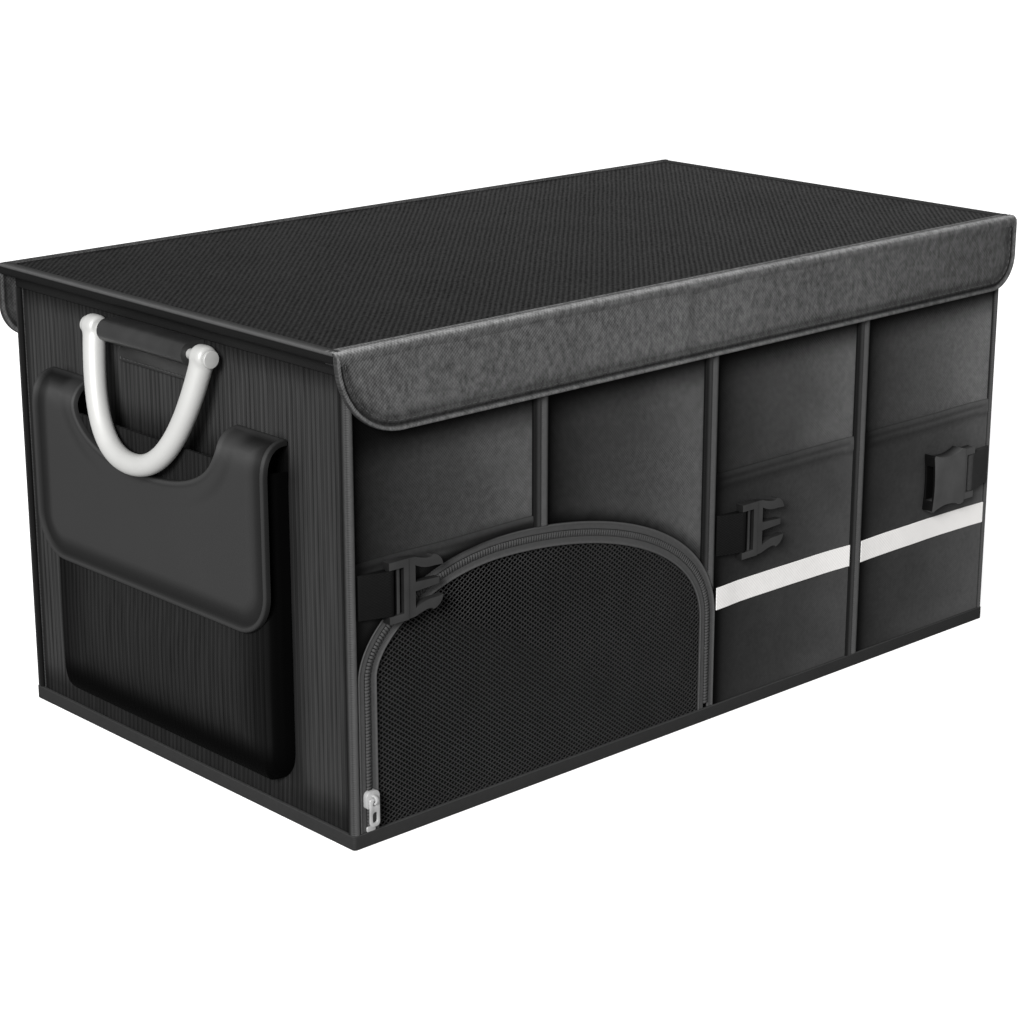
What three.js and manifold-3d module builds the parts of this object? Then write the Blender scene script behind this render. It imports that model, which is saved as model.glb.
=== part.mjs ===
// Folding boot organizer: a cloth-covered board box with a lid, a zipped mesh door in front,
// slip pockets, and a lidded pocket with a bail handle on each end.
// Millimetres, +X along the box, front at -Y, +Z up; the origin is under the middle of the box.
import * as THREE from 'three';
import { mergeVertices } from 'three/addons/utils/BufferGeometryUtils.js';
import Module from 'manifold-3d';

const wasm = await Module();
wasm.setup();

// Box
const bodyLength = 550;
const bodyWidth = 310;
const bodyHeight = 275;
const clearance = 0.3;            // between neighbouring pieces
const wallThickness = 4;          // board with its cloth
const bindingProud = 2.5;         // how far the edge bindings stand out of the walls
const bindingBackset = 11;        // width of the bottom binding's lip under the walls
const bottomBindingHeight = 8;
const floorThickness = 3;
const baseBoardThickness = 3;
const rimHeight = 7.5;            // binding along the top of the walls
const rimSkin = 1.5;
const cornerFrontLeg = 5;         // corner binding on the long walls
const cornerEndLeg = 6;           // corner binding on the end walls
const seamWidth = 11;             // binding over a fold between two panels
const seamGroove = 1.6;
const seamGrooveDepth = 0.9;
const seamEdgeRun = 0.8;          // eased edge of the folded tape
const seamEdgeRise = 0.6;
const baseBoardCorner = 4;
const dividerHeight = bodyHeight - 39;
const dividerThickness = 4;
const dividerCorners = [2, 2, 12, 12];
const fingerNotchRadius = 22;

// Lid
const lidBoardThickness = 5;
const lidEndOverhang = 8;
const lidBindingWidth = 7;
const lidBindingSkin = 0.7;
const flapDrop = 47;
const flapThickness = 2.5;
const flapStandOff = 1;           // flap to wall bindings
const flapBead = 1;               // the flap binding stands out this much
const flapBindingEdge = 3;
const flapBindingWidth = 7;
const flapCornerLeft = 43;
const flapCornerRight = 22;

// Mesh door and its zip, measured from the front left lower corner of the box
const zipLeftLeg = 12;
const zipCrownAt = 0.2 * bodyLength;
const zipCrownHeight = bodyHeight - 127.5;
const zipRightLeg = bodyLength / 2 + 1;
const zipLeftSpring = zipCrownHeight - 53.5;        // height where the left leg starts to bend
const zipRightSpring = zipCrownHeight - 81.5;
const zipLeftPull = [[zipLeftLeg, zipCrownHeight - 29.5], [zipCrownAt - 58, zipCrownHeight]];
const zipRightPull = [[zipCrownAt + 75, zipCrownHeight], [zipRightLeg, zipCrownHeight - 25.5]];
const zipBandHalf = 6.5;
const zipTapeThickness = 1;
const zipGapHalf = 4;             // half the slot that the tape bridges
const toothHalf = 1.4;
const toothProud = 2.2;
const toothLength = 1.6;
const toothPitch = 4.6;
const toothCore = 0.8;
const toothGap = 0.5;             // tape edge to teeth
const meshThickness = 0.8;
const meshPitch = 16.6;
const meshStrand = 2.6;
const meshEdge = 4.5;
const stopLength = 3;
const stopWidth = 6;
const sliderWidth = 9;
const sliderLength = 10;
const sliderThickness = 1.7;
const sliderHeightAt = 27.5;
const bridgeInner = 1.6;
const bridgeOuter = 2.8;
const bridgeWidth = 1.4;
const pullWidth = 6.6;
const pullLength = 16;
const pullThickness = 1.2;
const pullBar = 0.7;              // half the bar that hangs in the bridge
const pullEyeRadius = 1.5;

// Slip pockets on the front
const pocketThickness = 1.2;
const hemHeight = 8;
const hemProud = 0.8;
const hemGroove = 1.4;
const hemTaper = 1;
const sidePocketTop = bodyHeight - 121;             // panels 3 and 4
const archPocketTop = zipCrownHeight + 12.5;        // panel 1
const stripCentre = 76;
const stripWidth = 14;
const stripThickness = 0.5;

// Side-release buckle halves on short webbing tabs
const webbingWidth = 25;
const webbingThickness = 1.2;
const buckleBarRadius = 1.5;
const buckleRail = 3.5;
const maleLength = 38;
const maleHeight = 34;
const maleThickness = 5.4;
const maleSlotEnd = 12;
const maleShoulder = 5;           // solid root that the arms and the guide stand on
const secondBar = { from: 3, to: 5, short: 1 };
const prong = { share: 0.4, root: 0.5, belly: 4.5, hook: 1.5, lip: 3, tipDepth: 8.5, innerDepth: 8, width: 5,
  hookLength: 7, neck: 8, inner: 6 };
const guide = { rootHalf: 2.6, tipHalf: 1.8, short: 3 };
const femaleLength = 44;
const femaleHeight = 38;
const femaleThickness = 8.4;
const femaleWall = 1.5;
const femaleSlotEnd = 10;
const femaleWaist = 6;
const femaleLip = 3;
const femaleCavityFrom = 4;
const buckleJoin = 0.5;           // how far a buckle's frame runs into its body
const buckleStandOff = 4;         // bar axis in front of the bindings
const maleOneAt = [23, zipCrownHeight - 5.5];
const maleTwoAt = [bodyLength / 2 + 23, sidePocketTop - 37.5];
const femaleAt = [bodyLength - 29, sidePocketTop - 44];

// End pocket, its flap and the handle, measured from the middle of the end wall, + to the rear
const endPocket = { centre: 4, halfWidth: bodyWidth / 2 - 57, gusset: 8, bottom: 33, gussetBottom: 13,
  top: bodyHeight - 75 };
const endPocketDepth = 13.5;
const endPocketWall = 1.5;
const endPocketCorner = 16;
const endFlap = { centre: 7.5, halfWidth: bodyWidth / 2 - 44.5, bottom: bodyHeight - 167, top: bodyHeight - 58,
  corner: 26 };
const endFlapOffset = 15.2;       // middle of the flap's cloth from the wall
const endFlapShoulder = 20;
const scoop = { halfWidth: endFlap.halfWidth - 42.5, knee: endFlap.top - 11, bottom: endFlap.top - 38.5,
  flank: 0.92, flankRise: 9, floor: 0.53 };
const handleCentre = 7.8;
const handleHeight = bodyHeight - 22;
const handleStandOff = 9.5;       // rod axis from the wall
const handleTilt = 12;            // degrees, resting against the pocket
const handleHalfSpan = 51.5;
const handleLength = 68.7;
const handleTube = 6.5;
const handleKnee = [44, 42];
const handleFoot = 30;
const eyeRadius = 7;
const eyeHalfWidth = 5.5;
const rodRadius = 3;
const rodHead = 2;
const rodHeadRadius = 5;
const sleeveHalfLength = handleHalfSpan - 11.5;
const sleeveRadius = 6.5;
const patchDrop = 19;
const patchThickness = 2;

// Planes that several pieces share
const wallX = bodyLength / 2 - bindingProud;
const wallY = bodyWidth / 2 - bindingProud;
const lidBoardTop = bodyHeight - lidBindingSkin - clearance;
const lidBoardBottom = lidBoardTop - lidBoardThickness;
const lidBindingBottom = lidBoardBottom - clearance - lidBindingSkin;
const rimTop = lidBindingBottom - clearance;
const rimBottom = rimTop - rimHeight;
const wallTop = rimTop - rimSkin - clearance;
const wallBottom = floorThickness;
const lidX = bodyLength / 2 + lidEndOverhang;
const flapInnerY = bodyWidth / 2 + flapStandOff;
const flapOuterY = flapInnerY + flapThickness;
const lidEdgeY = flapInnerY - clearance;
const left = -bodyLength / 2;
const seamXs = [1, 2, 3].map((quarter) => left + quarter * bodyLength / 4);
const bindingBottom = bottomBindingHeight + clearance;
const bindingTop = rimBottom - clearance;
const tapeBackY = wallY + clearance;
const tapeFrontY = tapeBackY + zipTapeThickness;

const material = (color, roughness, metalness = 0) =>
  new THREE.MeshStandardMaterial({ color, roughness, metalness });
const cloth = material('#3b3b3c', 0.85);
const lidCloth = material('#2a2a2b', 0.9);
const flapCloth = material('#4a4a4b', 0.85);
const darkCloth = material('#2e2e2f', 0.9);
const bindingTape = material('#262627', 0.8);
const meshCloth = material('#303031', 0.8);
const boardGrey = material('#1f1f20', 0.9);
const zipTape = material('#565657', 0.8);
const reflective = material('#dcdad8', 0.45);
const blackPlastic = material('#141415', 0.4);
const silverMetal = material('#a9a9aa', 0.3, 1);
const handlePlastic = material('#e2e2e0', 0.35);
const sleeveSkin = material('#333335', 0.35);

// A closed geometry becomes a solid that can be joined and cut, and back.
function solidOf(geometry) {
  const bare = geometry.clone();
  bare.deleteAttribute('normal');
  bare.deleteAttribute('uv');
  const merged = mergeVertices(bare, 1e-4);
  const mesh = new wasm.Mesh({
    numProp: 3,
    vertProperties: new Float32Array(merged.attributes.position.array),
    triVerts: new Uint32Array(merged.index.array),
  });
  mesh.merge();
  return new wasm.Manifold(mesh);
}

function geometryOf(solid) {
  const mesh = solid.getMesh();
  const geometry = new THREE.BufferGeometry();
  geometry.setAttribute('position', new THREE.BufferAttribute(new Float32Array(mesh.vertProperties), 3));
  geometry.setIndex(Array.from(mesh.triVerts));
  const faceted = geometry.toNonIndexed();
  faceted.computeVertexNormals();
  return faceted;
}

const planes = {
  plan: new THREE.Matrix4(),                                                    // outline in X, Y
  front: new THREE.Matrix4().makeBasis(
    new THREE.Vector3(1, 0, 0), new THREE.Vector3(0, 0, 1), new THREE.Vector3(0, -1, 0)),  // in X, Z
  end: new THREE.Matrix4().makeBasis(
    new THREE.Vector3(0, 1, 0), new THREE.Vector3(0, 0, 1), new THREE.Vector3(1, 0, 0)),   // in Y, Z
};

// Extrudes an outline from one height to another along the axis across its plane.
function prism(outline, plane, from, to, holes = []) {
  const shape = outline instanceof THREE.Shape ? outline : new THREE.Shape(outline);
  for (const hole of holes) shape.holes.push(new THREE.Path(hole));
  const low = Math.min(from, to);
  const high = Math.max(from, to);
  const geometry = new THREE.ExtrudeGeometry(shape, { depth: high - low, bevelEnabled: false, curveSegments: 8 });
  geometry.translate(0, 0, plane === 'front' ? -high : low);
  geometry.applyMatrix4(planes[plane]);
  return solidOf(geometry);
}

const point = (x, y) => new THREE.Vector2(x, y);

function rectangle(x0, y0, x1, y1) {
  return [point(x0, y0), point(x1, y0), point(x1, y1), point(x0, y1)];
}

// A rectangle with its own radius at each corner, from the lower left one round to the upper left.
function roundedRectangle(x0, y0, x1, y1, radii, steps = 7) {
  const corners = [
    [x0, y0, 1, 1, Math.PI], [x1, y0, -1, 1, 1.5 * Math.PI],
    [x1, y1, -1, -1, 0], [x0, y1, 1, -1, 0.5 * Math.PI],
  ];
  return corners.flatMap(([x, y, towardX, towardY, start], corner) => {
    const radius = radii[corner];
    if (radius <= 0) return [point(x, y)];
    return Array.from({ length: steps + 1 }, (_, step) => {
      const angle = start + 0.5 * Math.PI * step / steps;
      return point(x + towardX * radius + radius * Math.cos(angle), y + towardY * radius + radius * Math.sin(angle));
    });
  });
}

// Moves a closed anticlockwise outline outwards, or inwards with a negative distance.
function offsetOutline(points, distance) {
  return points.map((here, index) => {
    const before = points.at(index - 1);
    const after = points[(index + 1) % points.length];
    const first = here.clone().sub(before).normalize();
    const second = after.clone().sub(here).normalize();
    const normal = point(first.y + second.y, -first.x - second.x).normalize();
    const spread = Math.max(normal.x * first.y - normal.y * first.x, 0.4);
    return here.clone().addScaledVector(normal, distance / spread);
  });
}

// Joins two outlines with as many points each by a sloping wall, in the plane of Y and Z.
function loft(lower, lowerX, upper, upperX) {
  const count = lower.length;
  const vertices = [...lower.map((p) => [lowerX, p.x, p.y]), ...upper.map((p) => [upperX, p.x, p.y])];
  const outward = upperX > lowerX;
  const faces = [];
  const push = (a, b, c) => faces.push(...(outward ? [a, b, c] : [a, c, b]));
  for (let index = 0; index < count; index += 1) {
    const next = (index + 1) % count;
    push(index, next, count + next);
    push(index, count + next, count + index);
  }
  for (const [a, b, c] of THREE.ShapeUtils.triangulateShape(lower, [])) push(a, c, b);
  for (const [a, b, c] of THREE.ShapeUtils.triangulateShape(upper, [])) push(count + a, count + b, count + c);
  const geometry = new THREE.BufferGeometry();
  geometry.setAttribute('position', new THREE.BufferAttribute(new Float32Array(vertices.flat()), 3));
  geometry.setIndex(faces);
  return solidOf(geometry);
}

function cylinder(radius, length, axis, sides = 24) {
  const geometry = new THREE.CylinderGeometry(radius, radius, length, sides);
  if (axis === 'z') geometry.rotateX(Math.PI / 2);
  if (axis === 'x') geometry.rotateZ(Math.PI / 2);
  return solidOf(geometry);
}

const organizer = new THREE.Group();
organizer.name = 'organizer';

function piece(name, solid, look, parent = organizer, position = [0, 0, 0]) {
  const mesh = new THREE.Mesh(geometryOf(solid), look);
  mesh.name = name;
  mesh.position.set(...position);
  parent.add(mesh);
  return mesh;
}

const ring = (halfX, halfY, bottom, top, radius = 2) =>
  prism(roundedRectangle(-halfX, -halfY, halfX, halfY, [radius, radius, radius, radius], 3), 'plan', bottom, top);

// The zip's centre line with its two legs and two shoulders, then a closed outline beside it.
function archCentreLine(bottom) {
  const path = new THREE.CurvePath();
  const at = (u, v) => point(left + u, v);
  path.add(new THREE.LineCurve(at(zipRightLeg, bottom), at(zipRightLeg, zipRightSpring)));
  path.add(new THREE.CubicBezierCurve(
    at(zipRightLeg, zipRightSpring), at(...zipRightPull[1]), at(...zipRightPull[0]), at(zipCrownAt, zipCrownHeight)));
  path.add(new THREE.CubicBezierCurve(
    at(zipCrownAt, zipCrownHeight), at(...zipLeftPull[1]), at(...zipLeftPull[0]), at(zipLeftLeg, zipLeftSpring)));
  path.add(new THREE.LineCurve(at(zipLeftLeg, zipLeftSpring), at(zipLeftLeg, bottom)));
  return path;
}

function archOutline(distance, bottom) {
  const path = archCentreLine(bottom);
  const steps = [1, 22, 14, 1];
  const centre = path.curves.flatMap((curve, index) => curve.getPoints(steps[index]).slice(index ? 1 : 0));
  return centre.map((here, index) => {
    const before = centre[Math.max(index - 1, 0)];
    const after = centre[Math.min(index + 1, centre.length - 1)];
    const along = after.clone().sub(before).normalize();
    return point(here.x + along.y * distance, here.y - along.x * distance);
  });
}

function archPrism(distance, bottom, backY, frontY) {
  return prism(archOutline(distance, bottom), 'front', -frontY, -backY);
}

// Walls, bottom and bindings
function buildWalls() {
  const edges = [left + bindingProud, ...seamXs, -left - bindingProud];
  const window = archPrism(zipGapHalf, -wallBottom, 0, bodyWidth);
  for (let panel = 0; panel < 4; panel += 1) {
    const start = edges[panel] + (panel ? clearance / 2 : 0);
    const end = edges[panel + 1] - (panel < 3 ? clearance / 2 : 0);
    const board = prism(rectangle(start, wallBottom, end, wallTop), 'front', -wallY, wallThickness - wallY);
    piece(`front_panel_${panel + 1}`, board.subtract(window), cloth);
  }
  for (const [side, from, to] of [['left', -wallX, -clearance / 2], ['right', clearance / 2, wallX]]) {
    piece(`rear_panel_${side}`,
      prism(rectangle(from, wallBottom, to, wallTop), 'front', wallY - wallThickness, wallY), cloth);
  }
  const endHalf = wallY - wallThickness - clearance;
  const endOutline = rectangle(-endHalf, wallBottom, endHalf, wallTop);
  piece('left_end_wall', prism(endOutline, 'end', -wallX, wallThickness - wallX), cloth);
  piece('right_end_wall', prism(endOutline, 'end', wallX - wallThickness, wallX), cloth);
}

function buildBottom() {
  const halfX = bodyLength / 2;
  const halfY = bodyWidth / 2;
  const binding = ring(halfX, halfY, 0, bottomBindingHeight)
    .subtract(ring(wallX + clearance, wallY + clearance, wallBottom - clearance, bodyHeight, 0))
    .subtract(ring(halfX - bindingBackset, halfY - bindingBackset, -1, bodyHeight, 0));
  piece('bottom_binding', binding, bindingTape);
  const floorX = halfX - bindingBackset - clearance;
  const floorY = halfY - bindingBackset - clearance;
  piece('floor_cloth', ring(floorX, floorY, 0, floorThickness, 0), boardGrey);
  const boardY = wallY - wallThickness - clearance;
  const boardX = wallX - wallThickness - clearance;
  const boardBottom = floorThickness + clearance;
  for (const [side, from, to] of [['left', -boardX, -clearance], ['right', clearance, boardX]]) {
    const outline = roundedRectangle(from, -boardY, to, boardY, Array(4).fill(baseBoardCorner), 3);
    piece(`base_board_${side}`, prism(outline, 'plan', boardBottom, boardBottom + baseBoardThickness), boardGrey);
  }
  const dividerBottom = boardBottom + baseBoardThickness + clearance;
  const dividerTop = dividerBottom + dividerHeight;
  const sheet = prism(roundedRectangle(-boardY, dividerBottom, boardY, dividerTop, dividerCorners, 4),
    'end', -dividerThickness / 2, dividerThickness / 2);
  const notch = cylinder(fingerNotchRadius, 2 * dividerThickness, 'x').translate([0, 0, dividerTop]);
  piece('divider', sheet.subtract(notch), cloth);
}

function seamSection(halfWidth, back, front) {
  const groove = front - seamGrooveDepth;
  return [
    [-halfWidth, back], [halfWidth, back], [halfWidth, front - seamEdgeRise], [halfWidth - seamEdgeRun, front],
    [seamGroove, front], [seamGroove / 2, groove], [-seamGroove / 2, groove], [-seamGroove, front],
    [seamEdgeRun - halfWidth, front], [-halfWidth, front - seamEdgeRise],
  ];
}

function buildBindings() {
  const section = seamSection(seamWidth / 2, wallY + clearance, bodyWidth / 2);
  const arch = archPrism(zipBandHalf + clearance, -wallBottom, 0, bodyWidth);
  seamXs.forEach((x, index) => {
    const outline = section.map(([across, out]) => point(x - across, -out));
    const strip = prism(outline, 'plan', bindingBottom, bindingTop);
    piece(`front_seam_binding_${index + 1}`, strip.subtract(arch), bindingTape);
  });
  const rear = section.map(([across, out]) => point(-across, out)).reverse();
  piece('rear_seam_binding', prism(rear, 'plan', bindingBottom, bindingTop), bindingTape);
  const skin = ring(bodyLength / 2, bodyWidth / 2, bindingBottom, bindingTop)
    .subtract(ring(wallX + clearance, wallY + clearance, 0, bodyHeight, 0));
  for (const [name, signX, signY] of [
    ['front_left', -1, -1], ['front_right', 1, -1], ['rear_left', -1, 1], ['rear_right', 1, 1]]) {
    const xs = [signX * bodyLength, signX * (bodyLength / 2 - cornerFrontLeg)];
    const ys = [signY * bodyWidth, signY * (bodyWidth / 2 - cornerEndLeg)];
    const corner = rectangle(Math.min(...xs), Math.min(...ys), Math.max(...xs), Math.max(...ys));
    piece(`corner_binding_${name}`, skin.intersect(prism(corner, 'plan', 0, bodyHeight)), bindingTape);
  }
  const grip = rimSkin + clearance;
  const rim = ring(wallX + grip, wallY + grip, rimBottom, rimTop)
    .subtract(ring(wallX - wallThickness - grip, wallY - wallThickness - grip, 0, bodyHeight, 0));
  const channel = ring(wallX + clearance, wallY + clearance, 0, wallTop + clearance, 0)
    .subtract(ring(wallX - wallThickness - clearance, wallY - wallThickness - clearance, -1, bodyHeight, 0));
  piece('top_rim_binding', rim.subtract(channel), bindingTape);
}

// Lid: a covered board in a piped edge, and a flap along its front and rear folds
function buildLid() {
  const boardX = lidX - flapBindingEdge - clearance;
  const boardY = lidEdgeY - flapBindingEdge - clearance;
  const board = prism(rectangle(-boardX, -boardY, boardX, lidEdgeY), 'plan', lidBoardBottom, lidBoardTop);
  piece('lid_board', board, lidCloth);
  const inner = lidX - lidBindingWidth;
  const binding = prism(rectangle(-lidX, -lidEdgeY, lidX, lidEdgeY), 'plan', lidBindingBottom, bodyHeight)
    .subtract(prism(rectangle(-inner, lidBindingWidth - lidEdgeY, inner, bodyWidth), 'plan', 0, 2 * bodyHeight))
    .subtract(prism(rectangle(-boardX - clearance, -boardY - clearance, boardX + clearance, bodyWidth),
      'plan', lidBoardBottom - clearance, lidBoardTop + clearance));
  piece('lid_edge_binding', binding, bindingTape);
}

function buildLidFlap(name, side) {
  const outline = (inset, topInset) => roundedRectangle(-lidX + inset, bodyHeight - flapDrop + inset,
    lidX - inset, bodyHeight - clearance - topInset, [flapCornerLeft - inset, flapCornerRight - inset, 0, 0], 9);
  const layer = (inset, topInset, from, to) => prism(outline(inset, topInset), 'front', side * from, side * to);
  const seat = flapBindingEdge + clearance;
  piece(name, layer(seat, seat, flapInnerY, flapOuterY), flapCloth);
  const band = layer(0, 0, flapInnerY, flapOuterY + flapBead)
    .subtract(layer(flapBindingWidth, flapBindingEdge, 0, bodyWidth))
    .subtract(layer(flapBindingEdge, flapBindingEdge, 0, flapOuterY + clearance));
  piece(`${name}_binding`, band, bindingTape);
}

// Mesh door, zip tape, teeth, slider and pull
function buildMeshDoor() {
  const bottom = wallBottom + clearance;
  const outline = archOutline(-zipGapHalf, bottom);
  const field = archOutline(-zipGapHalf - meshEdge, bottom + meshEdge + clearance);
  const inside = (x, z) => {
    let hits = 0;
    field.forEach((a, index) => {
      const b = field[(index + 1) % field.length];
      if ((a.y > z) !== (b.y > z) && x < a.x + (b.x - a.x) * (z - a.y) / (b.y - a.y)) hits += 1;
    });
    return hits % 2 === 1;
  };
  const half = (meshPitch - meshStrand) / Math.SQRT2;
  const step = meshPitch / Math.SQRT2;
  const holes = [];
  const columns = Math.ceil(zipRightLeg / step);
  const rows = Math.ceil(zipCrownHeight / step);
  for (let row = 0; row <= rows; row += 1) {
    for (let column = row % 2; column <= columns; column += 2) {
      const x = left + zipLeftLeg + column * step;
      const z = bottom + row * step;
      const diamond = [point(x - half, z), point(x, z - half), point(x + half, z), point(x, z + half)];
      if (diamond.every((corner) => inside(corner.x, corner.y))) holes.push(diamond);
    }
  }
  piece('mesh_window', prism(outline, 'front', -wallY, meshThickness - wallY, holes), meshCloth);
}

function buildZip() {
  const tape = (outer, inner) => archPrism(outer, bindingBottom, tapeBackY, tapeFrontY)
    .subtract(archPrism(inner, -wallBottom, 0, bodyWidth));
  piece('zip_tape_outer', tape(zipBandHalf, toothHalf + toothGap), zipTape);
  piece('zip_tape_inner', tape(-toothHalf - toothGap, -zipBandHalf), zipTape);

  const teethBottom = bindingBottom + stopLength + clearance;
  const path = archCentreLine(teethBottom);
  const length = path.getLength();
  const frontY = tapeBackY + toothProud;
  const middleY = (tapeBackY + frontY) / 2;
  let teeth = archPrism(toothCore, teethBottom, middleY - toothCore / 2, middleY + toothCore / 2)
    .subtract(archPrism(-toothCore, -wallBottom, 0, bodyWidth));
  const block = prism(rectangle(-toothHalf, -toothLength / 2, toothHalf, toothLength / 2), 'front', -frontY, -tapeBackY);
  const count = Math.floor((length - toothLength) / toothPitch);
  const blocks = [];
  for (let index = 0; index <= count; index += 1) {
    const share = (toothLength / 2 + index * toothPitch) / length;
    const here = path.getPointAt(share);
    const along = path.getTangentAt(share);
    const turn = THREE.MathUtils.radToDeg(Math.atan2(along.x, along.y));
    blocks.push(block.rotate([0, turn, 0]).translate([here.x, 0, here.y]));
  }
  teeth = teeth.add(wasm.Manifold.union(blocks));
  piece('zip_teeth', teeth, zipTape);

  const legX = left + zipLeftLeg;
  const stop = prism(roundedRectangle(-stopWidth / 2, bindingBottom, stopWidth / 2, bindingBottom + stopLength,
    [0.6, 0.6, 0.6, 0.6], 2), 'front', -frontY, -tapeFrontY - clearance);
  piece('zip_bottom_stop', stop, silverMetal, organizer, [legX, 0, 0]);

  const slider = new THREE.Group();
  slider.position.set(legX, -frontY - clearance, sliderHeightAt);
  organizer.add(slider);
  const half = sliderWidth / 2;
  const plate = prism(roundedRectangle(-half, -sliderLength / 2, half, sliderLength / 2, [1.5, 1.5, 3.5, 3.5], 4),
    'front', -sliderThickness, toothProud - zipTapeThickness);
  const channel = prism(rectangle(-toothHalf - clearance, -sliderLength, toothHalf + clearance, sliderLength),
    'front', 0, sliderWidth);
  const axisY = -sliderThickness - clearance - pullThickness / 2;
  const arch = cylinder(bridgeOuter, bridgeWidth, 'x').subtract(cylinder(bridgeInner, 2 * bridgeWidth, 'x'))
    .translate([0, axisY, 0])
    .subtract(prism(rectangle(-half, -half, half, half), 'front', -sliderThickness / 2, sliderWidth));
  piece('zip_slider', plate.subtract(channel).add(arch), silverMetal, slider);
  const pullTop = pullBar;
  const low = pullTop - pullLength;
  const pullOutline = new THREE.Shape(roundedRectangle(-pullWidth / 2, low, pullWidth / 2, pullTop,
    [2.4, 2.4, 0.9, 0.9], 4));
  const eye = new THREE.Path().absarc(0, -pullBar - pullEyeRadius, pullEyeRadius, 0, 2 * Math.PI, true);
  const slotTop = -2 * pullBar - 2 * pullEyeRadius - 2.6;
  const slot = roundedRectangle(-1.7, low + 2, 1.7, slotTop, [1.6, 1.6, 1.6, 1.6], 4);
  pullOutline.holes.push(eye, new THREE.Path(slot));
  piece('zip_pull', prism(pullOutline, 'front', -pullThickness / 2, pullThickness / 2), silverMetal, slider,
    [0, axisY, 0]);
}

// Slip pockets with a double hem, and the reflective strips
function pocketSection(bottom, top) {
  const back = -wallY - clearance;
  const face = back - pocketThickness;
  const proud = face - hemProud;
  const middle = top - hemHeight / 2;
  return [
    [back, bottom], [back, top], [proud, top], [proud, middle + hemGroove], [face, middle],
    [proud, middle - hemGroove], [proud, top - hemHeight], [face, top - hemHeight - hemTaper], [face, bottom],
  ].map(([y, z]) => point(y, z)).reverse();
}

function buildFrontPockets() {
  const seamHalf = seamWidth / 2 + clearance;
  const cornerX = -left - cornerFrontLeg - clearance;
  const arch = archPrism(zipBandHalf + clearance, -wallBottom, 0, bodyWidth);
  const spans = [
    [1, -cornerX, seamXs[0] - seamHalf, bindingBottom, archPocketTop],
    [3, seamXs[1] + seamHalf, seamXs[2] - seamHalf, bindingBottom, sidePocketTop],
    [4, seamXs[2] + seamHalf, cornerX, bindingBottom, sidePocketTop],
  ];
  for (const [panel, from, to, bottom, top] of spans) {
    const sheet = prism(pocketSection(bottom, top), 'end', from, to);
    const upper = panel === 1 ? prism(rectangle(from, zipLeftSpring, to, top), 'front', -bodyWidth, 0) : null;
    const solid = upper ? sheet.intersect(upper).subtract(arch) : sheet.subtract(arch);
    piece(`front_pocket_${panel}`, solid, darkCloth);
  }
  const backY = wallY + 2 * clearance + pocketThickness;
  for (const [panel, from, to] of spans.slice(1)) {
    const strip = prism(rectangle(from, stripCentre - stripWidth / 2, to, stripCentre + stripWidth / 2),
      'front', -backY - stripThickness, -backY);
    piece(`reflective_strip_${panel}`, strip.subtract(arch), reflective);
  }
}

// Webbing tab from a seam to the bar that it loops round; local origin on the bar's axis
function webbingTab(reach, seatDepth) {
  const inner = buckleBarRadius + clearance;
  const outer = inner + webbingThickness;
  const strap = prism([
    point(-reach, seatDepth - webbingThickness), point(0, -outer), point(0, outer), point(-reach, seatDepth),
  ], 'plan', -webbingWidth / 2, webbingWidth / 2);
  return strap.add(cylinder(outer, webbingWidth, 'z', 20)).subtract(cylinder(inner, 2 * webbingWidth, 'z', 16));
}

function buckleFrame(height, thickness, slotEnd) {
  const half = height / 2;
  const innerHalf = webbingWidth / 2 + clearance;
  const block = prism(rectangle(-buckleBarRadius, -half, slotEnd, half), 'front', -thickness / 2, thickness / 2);
  const slot = prism(rectangle(-maleLength, -innerHalf, slotEnd - buckleRail, innerHalf), 'front', -thickness, thickness);
  return block.subtract(slot).add(cylinder(buckleBarRadius, 2 * innerHalf + buckleRail, 'z', 16));
}

// Two sprung arms with hooks and a guide between them, on a frame that holds the webbing
function maleHalf() {
  const half = maleHeight / 2;
  const tip = maleLength - buckleBarRadius;
  const shoulder = maleSlotEnd + maleShoulder;
  const arms = new THREE.Shape();
  arms.moveTo(maleSlotEnd - buckleJoin, half);
  arms.lineTo(maleSlotEnd - buckleJoin, -half);
  arms.lineTo(shoulder, prong.root - half);
  arms.quadraticCurveTo(tip - prong.neck, prong.belly - half, tip - prong.hookLength, prong.hook - half);
  arms.quadraticCurveTo(tip - 1, prong.lip - half, tip, prong.tipDepth - half);
  arms.lineTo(tip - prong.inner, prong.innerDepth - half);
  arms.quadraticCurveTo(shoulder + prong.inner, prong.tipDepth - half, shoulder, prong.width - half);
  arms.lineTo(shoulder, -guide.rootHalf);
  arms.lineTo(tip - guide.short, -guide.tipHalf);
  arms.lineTo(tip - guide.short, guide.tipHalf);
  arms.lineTo(shoulder, guide.rootHalf);
  arms.lineTo(shoulder, half - prong.width);
  arms.quadraticCurveTo(shoulder + prong.inner, half - prong.tipDepth, tip - prong.inner, half - prong.innerDepth);
  arms.lineTo(tip, half - prong.tipDepth);
  arms.quadraticCurveTo(tip - 1, half - prong.lip, tip - prong.hookLength, half - prong.hook);
  arms.quadraticCurveTo(tip - prong.neck, half - prong.belly, shoulder, half - prong.root);
  const prongs = prism(arms, 'front', -maleThickness * prong.share, maleThickness * prong.share);
  const bar = prism(rectangle(buckleBarRadius + secondBar.from, secondBar.short - half,
    buckleBarRadius + secondBar.to, half - secondBar.short), 'front', -buckleBarRadius, buckleBarRadius);
  return buckleFrame(maleHeight, maleThickness, maleSlotEnd).add(bar).add(prongs);
}

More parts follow.
